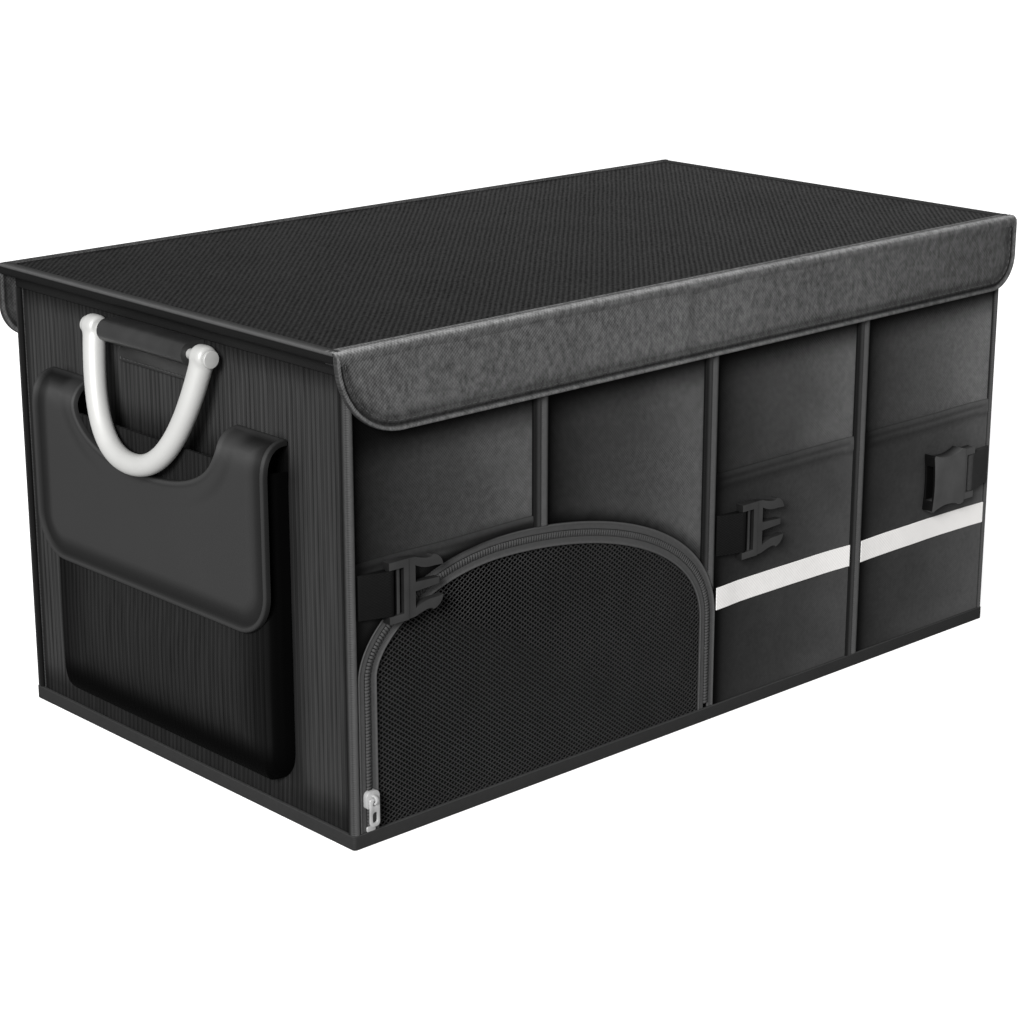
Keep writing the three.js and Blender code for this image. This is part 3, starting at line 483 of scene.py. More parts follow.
mouldings = {
    # moulded acetal of the buckles: dark grey, satin
    "mouldedAcetal": {"flow": 18.0, "grain": 0.8, "dark": "#202020", "light": "#333333", "roughness": 0.36,
                      "roughSpread": 0.12, "bump": 0.015},
    # nickel plated zinc die casting; its pale colour is partly the plating's own and partly a painted reflection of a
    # bright studio
    "nickelPlate": {"flow": 6.0, "grain": 0.5, "dark": "#a8a8a8", "light": "#d6d6d6", "roughness": 0.34,
                    "roughSpread": 0.16, "bump": 0.01, "metallic": 0.35},
    # bead blasted and clear anodised aluminium, soft and almost white
    "anodisedBail": {"flow": 40.0, "grain": 0.7, "dark": "#bcbcba", "light": "#d0d0ce", "roughness": 0.42,
                     "roughSpread": 0.08, "bump": 0.008, "metallic": 0.2},
    # smooth coated sleeve over the handle rod
    "coatedSleeve": {"flow": 14.0, "grain": 1.4, "dark": "#262626", "light": "#363636", "roughness": 0.34,
                     "roughSpread": 0.12, "bump": 0.03, "coat": 0.15},
    # turned steel rod, clear plated
    "turnedRod": {"flow": 8.0, "grain": 0.8, "dark": "#b4b4b2", "light": "#c8c8c6", "roughness": 0.4,
                  "roughSpread": 0.1, "bump": 0.01, "metallic": 0.2},
}
moulded = {name: mouldedMaterial(name, look) for name, look in mouldings.items()}
print("materials made:", len(cloth) + len(moulded))


# Zip line, shared by the panels, the tapes and the net.
zipDoor = {
    "leftLeg": 12.0, "leftSpring": 94.0, "crownAt": 110.0, "crownHeight": 147.5, "rightLeg": 276.0,
    "rightSpring": 66.0, "leftPull": ((12.0, 118.0), (52.0, 147.5)), "rightPull": ((185.0, 147.5), (276.0, 122.0)),
    "windowCut": 4.0, "bandHalf": 6.5, "pocketCut": 6.8,
}


def archLine(offset, bottom):
    left, door = -box["halfLength"], zipDoor
    at = lambda point: (left + point[0], point[1])
    crown = (door["crownAt"], door["crownHeight"])
    line = np.vstack([
        np.column_stack([np.full(14, left + door["rightLeg"]), np.linspace(bottom, door["rightSpring"], 14)])[:-1],
        bezier(at((door["rightLeg"], door["rightSpring"])), at(door["rightPull"][1]), at(door["rightPull"][0]),
               at(crown), 80)[:-1],
        bezier(at(crown), at(door["leftPull"][1]), at(door["leftPull"][0]),
               at((door["leftLeg"], door["leftSpring"])), 56)[:-1],
        np.column_stack([np.full(20, left + door["leftLeg"]), np.linspace(door["leftSpring"], bottom, 20)])])
    along = np.gradient(line, axis=0)
    along /= np.hypot(*along.T)[:, None]
    outward = np.column_stack([along[:, 1], -along[:, 0]])
    return line + outward * offset, outward


def archHeight(offset, xs):
    # height of the arch above x, for the pieces that stop at it
    line, _ = archLine(offset, 0.0)
    order = np.argsort(line[:, 0])
    return np.interp(xs, line[order, 0], line[order, 1])


def crossingHeight(line, x):
    right = line[:, 0] > x
    index = int(np.flatnonzero(right[1:] != right[:-1])[0])
    (x0, z0), (x1, z1) = line[index], line[index + 1]
    return float(z0 + (z1 - z0) * (x - x0) / (x1 - x0))


def archPart(offset, low, high, bottom):
    # points of the arch between two x values, from left to right
    line = archLine(offset, bottom)[0][::-1]
    inside = [tuple(point) for point in line if low < point[0] < high]
    start = [(low, crossingHeight(line, low))] if line[0][0] < low else []
    end = [(high, crossingHeight(line, high))] if line[-1][0] > high else []
    return start + inside + end


centreLine = archLine(0.0, 3.0)[0]

# Board panels: the cloth is drawn in between the bindings.
trough = {"depth": 1.5, "power": 3.2, "fadeEdge": 14.0, "archFade": 22.0, "ripple": 0.2}
# painted shade and painted light across a front panel: dark at its left binding and light at its right one as a lamp
# from the left leaves it, a painted shadow beside the binding, under the flap and beside the zip, and a painted
# brightening (lift) per panel
panelShade = {"at": (0.0, 0.08, 0.2, 0.4, 0.55, 0.8, 1.0), "tone": (-0.75, -0.68, -0.42, -0.14, 0.0, 0.5, 0.85),
              "fold": -0.9, "bindingShadowReach": 7.0, "underFlap": -0.85, "flapShadow": (205, 227),
              "besideZip": -0.9, "zipReach": 5.0,
              "lift": (0.95, 1.0, 1.15, 1.5), "pocketLift": {1: 0.9, 3: 0.97, 4: 1.2}}


def ripple(u, v, seed):
    return (np.sin(u * 0.071 + seed) * np.sin(v * 0.053 + 1.7 * seed) + 0.6 * np.sin(u * 0.031 - v * 0.083 + seed)
            + 0.35 * np.sin(u * 0.16 + v * 0.12 + 2.3 * seed))


def troughDepth(u, v, low, high, side=-1):
    share = np.clip((u - low) / (high - low), 0.0, 1.0)
    depth = trough["depth"] * (1.0 - np.abs(2.0 * share - 1.0) ** trough["power"])
    depth = depth + trough["ripple"] * ripple(u, v, low) * (depth / trough["depth"])
    depth *= smoothStep(v, box["bindingBottom"] - 2, box["bindingBottom"] + trough["fadeEdge"])
    depth *= 1.0 - 0.6 * smoothStep(v, box["bindingTop"] - trough["fadeEdge"], box["bindingTop"])
    if side < 0:
        depth *= smoothStep(zipAway(u, v), zipDoor["bandHalf"] - 1.0, zipDoor["bandHalf"] + trough["archFade"])
    return depth


def zipAway(u, v):
    return distanceToLine(np.column_stack([u, v]), centreLine, closed=False)


def panelTone(u, v, low, high, strength=1.0, lift=1.0):
    look = panelShade
    share = np.clip((u - low) / (high - low), 0.0, 1.0)
    tone = strength * np.interp(share, look["at"], look["tone"])
    # painted shadow of the left binding on the cloth beside it
    tone = tone + look["fold"] * near(u, low, look["bindingShadowReach"]) * (1 + tone)
    # painted shadow under the flap and beside the zip band; lift is a painted brightening of the whole panel
    dark = 1.0 + look["underFlap"] * smoothStep(v, *look["flapShadow"])
    dark = dark * (1.0 + look["besideZip"] * near(zipAway(u, v), zipDoor["bandHalf"], look["zipReach"]))
    return (1.0 + tone) * dark * lift - 1.0


edges = [-box["wallX"], *box["seams"], box["wallX"]]
# the part of each front panel that shows between its bindings
lowEdges = [-box["halfLength"] + box["cornerLeg"]] + [seam + box["seamHalf"] for seam in box["seams"]]
highEdges = [seam - box["seamHalf"] for seam in box["seams"]] + [box["halfLength"] - box["cornerLeg"]]
visibleEdges = list(zip(lowEdges, highEdges))


def buildPanels():
    gap, cut = 0.15, zipDoor["windowCut"]
    bottom, top = box["wallBottom"], box["wallTop"]
    (l1, h1), (l2, h2), (l3, h3), (l4, h4) = [
        (edges[index] + (gap if index else 0.0), edges[index + 1] - (gap if index < 3 else 0.0)) for index in range(4)]
    shapes = [
        [(l1, bottom)] + archPart(cut, l1, h1, bottom) + [(h1, top), (l1, top)],
        archPart(cut, l2, h2, bottom) + [(h2, top), (l2, top)],
        [(h3, bottom), (h3, top), (l3, top)] + archPart(cut, l3, h3, bottom),
        [(l4, bottom), (h4, bottom), (h4, top), (l4, top)],
    ]

    back = level(box["wallY"] - box["wallThickness"])
    for index, shape in enumerate(shapes):
        low, high = visibleEdges[index]
        form = sheetMesh(
            shape, [2.0], 5.0, lambda u, v, d: box["wallY"] - troughDepth(u, v, low, high), back, onFront, 4.0,
            lambda u, v, d: panelTone(u, v, low, high, 1.0, panelShade["lift"][index]))
        name = f"front_panel_{index + 1}"
        addPiece(f"covered_{name}", form, cloth["oxfordFront"], "box", "panel_cloth", name)
    for side, low, high, seen in (("left", -box["wallX"], -gap, (lowEdges[0], highEdges[1])),
                                  ("right", gap, box["wallX"], (lowEdges[2], highEdges[3]))):
        form = gridMesh(np.linspace(low, high, 70), np.linspace(bottom, top, 54),
                        lambda u, v: box["wallY"] - troughDepth(u, v, *seen, 1), back, lambda u, v, h: (u, h, v))
        name = f"rear_panel_{side}"
        addPiece(f"covered_{name}", form, cloth["oxfordFront"], "box", "panel_cloth", name)


buildPanels()
print("panels made")

# Corded end walls.
endPocket = {"centre": 4.0, "halfWidth": 98.0, "gusset": 8.0, "bottom": 33.0, "gussetBottom": 13.0, "top": 200.0,
             "depth": 13.5, "wall": 1.5, "corner": 16.0, "belly": 2.2, "rib": 4.0, "ribHeight": 0.25}
endWall = {"halfWidth": 148.2, "rib": 4.0, "ribHeight": 0.3, "hollow": 0.9}


def ribHeight(u, pitch, height):
    return height * (np.abs(np.sin(math.pi * u / pitch)) ** 0.8)


def buildEndWalls():
    wall = endWall
    us = np.linspace(-wall["halfWidth"], wall["halfWidth"], int(2 * wall["halfWidth"] / wall["rib"] * 8) + 1)
    vs = np.concatenate([np.linspace(box["wallBottom"], 32, 6), np.linspace(60, 182, 5),
                         np.linspace(188, box["wallTop"], 20)])

    def tone(u, v):
        # painted shade: darker beside the pocket's gusset, at the wall's side edges, in a painted shadow under the
        # lid, and darker towards the bottom
        aside = np.abs(u - endPocket["centre"]) - endPocket["halfWidth"] - endPocket["gusset"]
        beside = near(np.maximum(aside, 0.0), 0.0, 9.0) * smoothStep(v, 14, 30) * (1 - smoothStep(v, 195, 215))
        # painted black shadow where the flap hangs clear of the wall, over the top of the gusset
        gap = (1 - smoothStep(aside, -1, 3)) * smoothStep(aside, -24, -18) * smoothStep(v, 188, 196) \
            * (1 - smoothStep(v + 0.04 * (aside + 6) ** 2, 212, 220))
        beside = np.maximum(beside, 1.6 * gap)
        rim = 1 - 0.6 * near(np.abs(u), wall["halfWidth"], 3.5)
        ends = (1 - 0.7 * smoothStep(v, 246, 262)) * (1 - 0.6 * (1 - smoothStep(v, 14, 30)))
        return rim * (1 - 0.6 * beside) * ends - 1

    def front(u, v):
        share = np.clip(np.abs(u) / wall["halfWidth"], 0, 1)
        hollow = wall["hollow"] * (1 - share ** 6) * smoothStep(v, 6, 26) * (1 - smoothStep(v, 240, 262))
        return box["wallX"] - 0.3 - hollow + ribHeight(u, wall["rib"], wall["ribHeight"])

    for side, sign in (("left", -1), ("right", 1)):
        form = gridMesh(us, vs, front, level(box["wallX"] - box["wallThickness"]), onEnd(sign), tone)
        addPiece(f"corded_{side}_end", form, cloth["cordedEnd"], "box", "panel_cloth", f"{side}_end_wall",
                 smoothAngle=60)


buildEndWalls()
print("end walls made")

# Bindings: tape folded over the edges and sewn, so it has two rounded ridges.
bindings = {"proud": 2.5, "groove": 0.95, "ridgeAt": 3.1}


def seamProfile(u):
    # height of the double ridge over the wall
    edge = box["seamHalf"]
    crown = np.sqrt(np.clip(1.0 - ((np.abs(u) - bindings["ridgeAt"]) / (edge - bindings["ridgeAt"])) ** 2, 0.0, 1.0))
    inner = 1.0 - bindings["groove"] / bindings["proud"] * np.exp(-(u / 0.75) ** 2)
    return 0.3 + (bindings["proud"] - 0.3) * np.where(np.abs(u) > bindings["ridgeAt"], 0.45 + 0.55 * crown, inner)


# painted light and shade across a seam binding: a painted highlight on its left ridge, painted shade on its right
# ridge and in the grooves at its edges
seamShade = {"at": (-5.5, -4.2, -3.2, -1.2, 0.2, 2.2, 3.6, 4.5, 5.5),
             "tone": (-0.95, -0.9, -0.5, -0.2, -0.2, 0.4, 0.3, -0.6, -0.95)}


def buildSeams():
    us = np.array([-5.5, -5.45, -5.2, -4.7, -4.0, -3.1, -2.2, -1.4, -0.9, -0.5, 0.0,
                   0.5, 0.9, 1.4, 2.2, 3.1, 4.0, 4.7, 5.2, 5.45, 5.5])
    for index, x in enumerate(box["seams"]):
        for side, sign in (("front", -1), ("rear", 1)):
            if side == "rear" and index != 1:
                continue
            overArch = side == "front" and index < 2
            low = archHeight(zipDoor["pocketCut"], x + us) if overArch else np.full(len(us), box["bindingBottom"])
            shares = np.linspace(0, 1, 60)

            def place(u, v, h):
                start = np.interp(u, us, low)
                return x + u, sign * h, start + (box["bindingTop"] - start) * v

            form = gridMesh(us, shares, lambda u, v: box["wallY"] + seamProfile(u), level(box["wallY"] + 0.25),
                            place, lambda u, v: np.interp(u, seamShade["at"], seamShade["tone"]))
            node = f"front_seam_binding_{index + 1}" if side == "front" else "rear_seam_binding"
            addPiece(f"taped_{node}", form, cloth["bindingTape"], "box", "binding_tape", node, smoothAngle=70)


def buildCorners():
    # a ridge on each leg and a narrow groove at the corner itself
    section = [(5.0, 2.2), (5.0, 1.2), (4.7, 0.55), (4.0, 0.12), (3.1, 0.0), (2.2, 0.1), (1.6, 0.4), (1.15, 0.9),
               (0.9, 1.15), (0.4, 1.6), (0.1, 2.3), (0.0, 3.3), (0.12, 4.5), (0.55, 5.5), (1.2, 6.0), (2.2, 6.0),
               (2.2, 2.2)]
    # painted shade at the corner binding's edges and groove, painted light on its ridges
    tones = [-0.9, -0.8, -0.4, 0.1, 0.2, 0.2, 0.1, -0.1, -0.4, -0.2, -0.25, -0.7, -0.9, -0.95, -0.95, -0.95, -0.9]
    for name, signX, signY in (("front_left", -1, -1), ("front_right", 1, -1), ("rear_left", -1, 1),
                               ("rear_right", 1, 1)):
        path = [(signX * box["halfLength"], signY * box["halfWidth"], z)
                for z in np.linspace(box["bindingBottom"], box["bindingTop"], 60)]
        form = sweepMesh(path, section, (-signX, 0, 0), (0, -signY, 0), tones)
        addPiece(f"taped_corner_{name}", form, cloth["bindingTape"], "box", "binding_tape",
                 f"corner_binding_{name}", smoothAngle=70)


buildSeams()
buildCorners()


easing = {"weld": 2e-6, "flatAngle": 2.0, "sharpAngle": 32.0, "smoothAngle": 50}


def dressNode(node, material, slotName, body, bevel=0.4, segments=2, tone=None):
    # A CAD node with its sharp edges eased, as a moulding or a folded tape has them.
    mesh = nodes[node].data.copy()
    flat = math.radians(easing["flatAngle"])
    reworked(mesh, lambda work: bmesh.ops.remove_doubles(work, verts=work.verts, dist=easing["weld"]),
             lambda work: bmesh.ops.dissolve_limit(work, angle_limit=flat, verts=work.verts, edges=work.edges))
    mesh.materials.clear()
    mesh.materials.append(material)
    piece = linked(f"dressed_{node}", mesh)
    eased = piece.modifiers.new("eased", "BEVEL")
    eased.width = bevel * 0.001
    eased.segments = segments
    eased.limit_method = "ANGLE"
    eased.angle_limit = math.radians(easing["sharpAngle"])
    eased.use_clamp_overlap = True
    piece = applied(piece)
    reworked(piece.data, lambda work: smoothByAngle(work, easing["smoothAngle"]))
    if tone is not None:
        places, normals = np.empty(len(piece.data.vertices) * 3), np.empty(len(piece.data.vertices) * 3)
        piece.data.vertices.foreach_get("co", places)
        piece.data.vertices.foreach_get("normal", normals)
        paintShade(piece.data, tone(places.reshape(-1, 3) * 1000, normals.reshape(-1, 3)))
    return settle(piece, body, slotName, node)


dressNode("bottom_binding", cloth["bindingTape"], "binding_tape", "box", 1.1, 4,
          lambda place, normal: np.where(place[:, 2] > box["bindingBottom"] - 0.4, -0.2, -0.6))
# painted shadow: the rim binding is painted dark as it lies in the lid's shade
dressNode("top_rim_binding", cloth["bindingTape"], "binding_tape", "box", 0.7, 3,
          lambda place, normal: np.full(len(place), -0.85))
print("bindings made")

# Slip pockets with a double hem, and the reflective strips.
pocket = {"back": 0.3, "face": 1.5, "hem": 0.55, "hemHeight": 8.0, "gape": 1.2, "sideTop": 154.0, "archTop": 160.0,
          "inset": 0.3}
strip = {"centre": 76.0, "width": 14.0, "thickness": 0.5}


def pocketFront(u, v, low, high, top):
    share = np.clip((u - low) / (high - low), 0.0, 1.0)
    gape = pocket["gape"] * np.sin(math.pi * share) ** 2 * smoothStep(v, top - 70, top)
    middle = top - pocket["hemHeight"] / 2
    hem = pocket["hem"] * smoothStep(v, top - pocket["hemHeight"] - 0.8, top - pocket["hemHeight"] + 0.6)
    hem = hem * (1.0 - 0.75 * np.exp(-((v - middle) / 0.7) ** 2))
    hem = hem * (1.0 - 0.8 * smoothStep(v, top - 0.9, top))
    return box["wallY"] + pocket["face"] - troughDepth(u, v, low, high) + hem + gape, gape


def buildPockets():
    inset, cut = pocket["inset"], zipDoor["pocketCut"]
    spans = [(low + inset, high - inset) for low, high in visibleEdges]
    bottom, top, archTop = box["bindingBottom"], pocket["sideTop"], pocket["archTop"]
    arch = archPart(cut, spans[0][0], spans[0][1], bottom)
    shapes = {
        1: (arch + [(spans[0][1], archTop), (spans[0][0], archTop)], archTop),
        3: ([(spans[2][1], bottom), (spans[2][1], top), (spans[2][0], top)]
            + archPart(cut, spans[2][0], spans[2][1], bottom), top),
        4: ([(spans[3][0], bottom), (spans[3][1], bottom), (spans[3][1], top), (spans[3][0], top)], top),
    }
    for panel, (shape, high) in shapes.items():
        a, b = visibleEdges[panel - 1]

        def front(u, v, d):
            return pocketFront(u, v, a, b, high)[0]

        def back(u, v, d):
            return box["wallY"] + pocket["back"] - troughDepth(u, v, a, b) + pocketFront(u, v, a, b, high)[1]

        def tone(u, v, d):
            # painted highlights on the hem's two rows and painted shade in its stitch groove and under it, over the
            # panel's painted shade and light
            hem = 0.15 * near(v, high - 1.6, 1.5) + 0.1 * near(v, high - 6.2, 1.5) - 0.25 * near(v, high - 4.0, 1.0) \
                - 0.25 * near(v, high - pocket["hemHeight"] - 1.6, 1.6)
            return (1 + panelTone(u, v, a, b, 0.75, panelShade["pocketLift"][panel])) * (1 + hem) - 1

        form = sheetMesh(shape, [1.2, 2.4, 3.4, 4.4, 5.6, 7.2, 8.2, 9.2], 4.0, front, back, onFront, 2.5, tone)
        name = f"front_pocket_{panel}"
        piece = addPiece(f"sewn_{name}", form, cloth["pocketCloth"], "box", "pocket_cloth", name)
        declareSheet(piece, shape, "stretched", f"covered_front_panel_{panel}")
    for panel in (3, 4):
        a, b = visibleEdges[panel - 1]
        low = spans[panel - 1][0] if panel == 4 else float(archLine(cut, bottom)[0][:, 0].max()) + 0.2
        high = spans[panel - 1][1]
        vs = strip["centre"] + strip["width"] / 2 * np.array([-1, -0.97, -0.5, 0, 0.5, 0.97, 1])

        def stripBack(u, v):
            return pocketFront(u, v, a, b, pocket["sideTop"])[0] + 0.12

        def stripFront(u, v):
            edge = np.abs(v - strip["centre"]) > 0.98 * strip["width"] / 2
            return pocketFront(u, v, a, b, pocket["sideTop"])[0] + 0.3 + np.where(edge, 0.25, strip["thickness"])

        form = gridMesh(np.linspace(low, high, 60), vs, stripFront, stripBack, onFront)
        name = f"reflective_strip_{panel}"
        addPiece(f"beaded_{name}", form, cloth["beadedTape"], "box", "reflective_tape", name)


buildPockets()
print("pockets made")

# Zip: two tapes with a raised edge, a coil of teeth, stop, slider and pull.
teeth = {"Pitch": 1.9, "Width": 3.5, "Height": 0.9, "Length": 1.5}


def buildTapes():
    line, outward = archLine(0.0, box["bindingBottom"])
    path = np.column_stack([line[:, 0], np.full(len(line), -box["wallY"]), line[:, 1]])
    side = np.column_stack([outward[:, 0], np.zeros(len(line)), outward[:, 1]])
    rim = [(1.9, 0.3), (1.9, 1.15), (2.3, 1.3), (3.0, 1.28), (4.3, 1.22), (5.0, 1.3), (5.5, 1.62), (6.0, 1.7),
           (6.35, 1.5), (6.5, 1.1), (6.5, 0.3)]
    for name, sign in (("outer", 1), ("inner", -1)):
        section = [(sign * across, out) for across, out in rim]
        # painted light on the tape's raised edge, painted shade where it meets the teeth and at its outer edge
        tones = [-0.2, -0.1, 0.0, 0.0, 0.0, 0.05, 0.2, 0.2, 0.05, -0.5, -0.7]
        form = sweepMesh(path, section, side, (0, -1, 0), tones)
        node = f"zip_tape_{name}"
        addPiece(f"woven_{node}", form, cloth["zipTape"], "box", "zip_tape", node, smoothAngle=70)


def startTree(name, labels):
    # geometry nodes that take a piece made of edges, and numbers with these labels
    tree = bpy.data.node_groups.new(name, "GeometryNodeTree")
    tree.interface.new_socket("Geometry", in_out="INPUT", socket_type="NodeSocketGeometry")
    for label in labels:
        tree.interface.new_socket(label, in_out="INPUT", socket_type="NodeSocketFloat")
    tree.interface.new_socket("Geometry", in_out="OUTPUT", socket_type="NodeSocketGeometry")
    given = addNode(tree, "NodeGroupInput").outputs
    return tree, given, addNode(tree, "GeometryNodeMeshToCurve", None, {0: given["Geometry"]}).outputs[0]


def closeTree(tree, geometry, material):
    real = addNode(tree, "GeometryNodeRealizeInstances", None, {0: geometry})
    dressed = addNode(tree, "GeometryNodeSetMaterial", None, {"Geometry": real.outputs[0], "Material": material})
    addNode(tree, "NodeGroupOutput", None, {0: dressed.outputs[0]})
    return tree


def instanceTree(name, material, shape):
    # Puts a small shape on every step of the input's edges, turned along them.
    tree, given, curve = startTree(name, ("Pitch", "Width", "Height", "Length"))
    steps = addNode(tree, "GeometryNodeResampleCurve", {"mode": "LENGTH"}, {"Curve": curve, "Length": given["Pitch"]})
    tangent = addNode(tree, "GeometryNodeInputTangent")
    if shape == "ball":
        solid = addNode(tree, "GeometryNodeMeshIcoSphere", None, {"Radius": 0.5, "Subdivisions": 1})
        turned = addNode(tree, "FunctionNodeAlignRotationToVector", {"axis": "Z"}, {"Vector": tangent.outputs[0]})
    else:
        solid = addNode(tree, "GeometryNodeMeshCube", None, {"Size": (1.0, 1.0, 1.0)})
        front = addNode(tree, "FunctionNodeAlignRotationToVector", {"axis": "Y"}, {"Vector": (0.0, -1.0, 0.0)})
        turned = addNode(tree, "FunctionNodeAlignRotationToVector", {"axis": "Z", "pivot_axis": "Y"},
                         {"Rotation": front.outputs[0], "Vector": tangent.outputs[0]})
    size = addNode(tree, "ShaderNodeCombineXYZ", None,
                   {0: given["Width"], 1: given["Height"], 2: given["Length"]})
    copies = addNode(tree, "GeometryNodeInstanceOnPoints", None, {
        "Points": steps.outputs[0], "Instance": solid.outputs[0], "Rotation": turned.outputs[0],
        "Scale": size.outputs[0]})
    return closeTree(tree, copies.outputs[0], material)


def edgeObject(name, lines):
    # polylines in millimetres as a mesh of edges
    vertices, edgesMade = [], []
    for line in lines:
        start = len(vertices)
        vertices += [tuple(float(part) * 0.001 for part in point) for point in line]
        edgesMade += [(start + index, start + index + 1) for index in range(len(line) - 1)]
    mesh = bpy.data.meshes.new(name)
    mesh.from_pydata(vertices, edgesMade, [])
    return linked(name, mesh)


def runTree(name, lines, tree, values):
    source = edgeObject(f"{name}_path", lines)
    modifier = source.modifiers.new("nodes", "NODES")
    modifier.node_group = tree
    sockets = {item.name: item.identifier for item in tree.interface.items_tree
               if item.item_type == "SOCKET" and item.in_out == "INPUT"}
    for label, value in values.items():
        modifier[sockets[label]] = value * 0.001
    made = applied(source, name)
    for face in made.data.polygons:
        face.use_smooth = True
    return made


stitchTree = instanceTree("stitches along a seam", cloth["sewingThread"], "ball")
toothTree = instanceTree("zip teeth", cloth["zipTape"], "block")


def stitchRow(name, lines, body, pitch=4.2):
    thread, seenShare = 0.55, 0.72
    made = runTree(name, lines, stitchTree,
                   {"Pitch": pitch, "Width": thread, "Height": thread, "Length": pitch * seenShare})
    return settle(made, body, "binding_tape")


buildTapes()
teethLine = archLine(0.0, 12.0)[0]
coil = runTree("coiled_zip_teeth", [[(x, -(box["wallY"] + 1.35), z) for x, z in teethLine]], toothTree, teeth)
settle(coil, "box", "zip_tape", "zip_teeth")
dressNode("zip_bottom_stop", moulded["nickelPlate"], "zip_metal", "box", 0.25, 2)
dressNode("zip_slider", moulded["nickelPlate"], "zip_metal", "zip_runner", 0.3, 2)
dressNode("zip_pull", moulded["nickelPlate"], "zip_metal", "zip_tab", 0.25, 2)
print("zip made")

# Net door: knitted net, diagonal threads crossing every few millimetres.
net = {"across": 3.9, "down": 2.9, "thread": 0.7, "plane": 152.1, "edge": 4.6, "wave": 0.16}


def netTree(material):
    tree, given, curve = startTree("net threads", ("Thread",))
    ring = addNode(tree, "GeometryNodeCurvePrimitiveCircle", None, {"Resolution": 4, "Radius": given["Thread"]})
    tube = addNode(tree, "GeometryNodeCurveToMesh", None,
                   {"Curve": curve, "Profile Curve": ring.outputs[0], "Fill Caps": True})
    return closeTree(tree, tube.outputs[0], material)


def buildNet():
    door = archLine(-net["edge"], box["bindingBottom"] - 2.0)[0]
    low, high = door.min(axis=0), door.max(axis=0)
    columns = int((high[0] - low[0]) / net["across"]) + 2
    rows = int((high[1] - low[1]) / net["down"]) + 2
    lines = []
    for direction in (1, -1):
        for start in range(-rows, columns + rows):
            spots = []
            for step in range(rows * 2 + 1):
                x = low[0] + (start + direction * step * 0.5) * net["across"]
                z = low[1] + step * 0.5 * net["down"]
                lift = net["wave"] * direction * (1 if step % 2 else -1)
                spots.append((x, z, lift))
            flat = np.array(spots)
            keep = insideLoop(flat[:, :2], door)
            run = []
            for index, ok in enumerate(keep):
                if ok:
                    run.append((flat[index, 0], -(net["plane"] + flat[index, 2]), flat[index, 1]))
                if (not ok or index == len(keep) - 1) and run:
                    if len(run) > 1:
                        lines.append(run)
                    run = []
    made = runTree("knitted_net", lines, netTree(cloth["netCord"]), {"Thread": net["thread"] / 2})
    settle(made, "box", "mesh_net", "mesh_window")
    declareSheet(made, door, "stretched", "woven_zip_tape_inner")


buildNet()
print("net made")

# Lid: covered board, edge binding and two hanging flaps.
lid = {"halfX": 279.7, "front": -152.4, "rear": 155.7, "bottom": 269.0, "top": 274.0, "sag": 0.7}
flap = {"halfX": 283.0, "bottom": 228.0, "top": 274.7, "left": 43.0, "right": 22.0, "inner": 156.0, "outer": 158.5,
        "bead": 1.0, "beadHalf": 1.25, "groove": (3.2, 0.7), "dip": (7.6, 1.3), "fold": 3.4, "creaseAt": -20,
        "stitchedAt": 5.6}


def buildLidBoard():
    def top(u, v):
        inside = smoothStep(279 - np.abs(u), 0, 40) * smoothStep(153 - np.abs(v), 0, 40)
        return lid["top"] - lid["sag"] * inside + 0.25 * ripple(u, v, 0.4) * smoothStep(279 - np.abs(u), 0, 30)

    def tone(u, v):
        # painted light: lighter towards the right end; painted shade along the rear edge
        return (0.3 * np.clip(u / lid["halfX"], -1, 1) + 1) * (1 - 0.8 * smoothStep(v, 148, 153)) - 1

    form = gridMesh(np.linspace(-lid["halfX"], lid["halfX"], 110), np.linspace(lid["front"], lid["rear"], 60), top,
                    level(lid["bottom"]), lambda u, v, h: (u, v, h), tone)
    addPiece("covered_lid_board", form, cloth["ribbedLid"], "lid", "lid_cloth", "lid_board")


def flapOffset(away):
    # bead along the edge, a narrow groove, the flat seam allowance, a soft groove and then the cloth
    half = flap["beadHalf"]
    bead = flap["bead"] * np.sqrt(np.clip(1.0 - ((away - half) / half) ** 2, 0.0, 1.0))
    return np.where(away < 2 * half, bead, 0.0) - near(away, *flap["groove"]) - 0.4 * near(away, *flap["dip"])


# painted light and shade across the flap's bound edge: dark at the very edge, a painted highlight on the bead, painted
# shade in the grooves
flapShade = {"at": (0.0, 0.6, 1.9, 2.6, 3.8, 5.2, 6.4, 7.6, 9.4, 12.0),
             "tone": (-0.6, 0.2, 0.35, -0.7, -0.75, -0.45, -0.4, -0.45, -0.12, 0.0)}


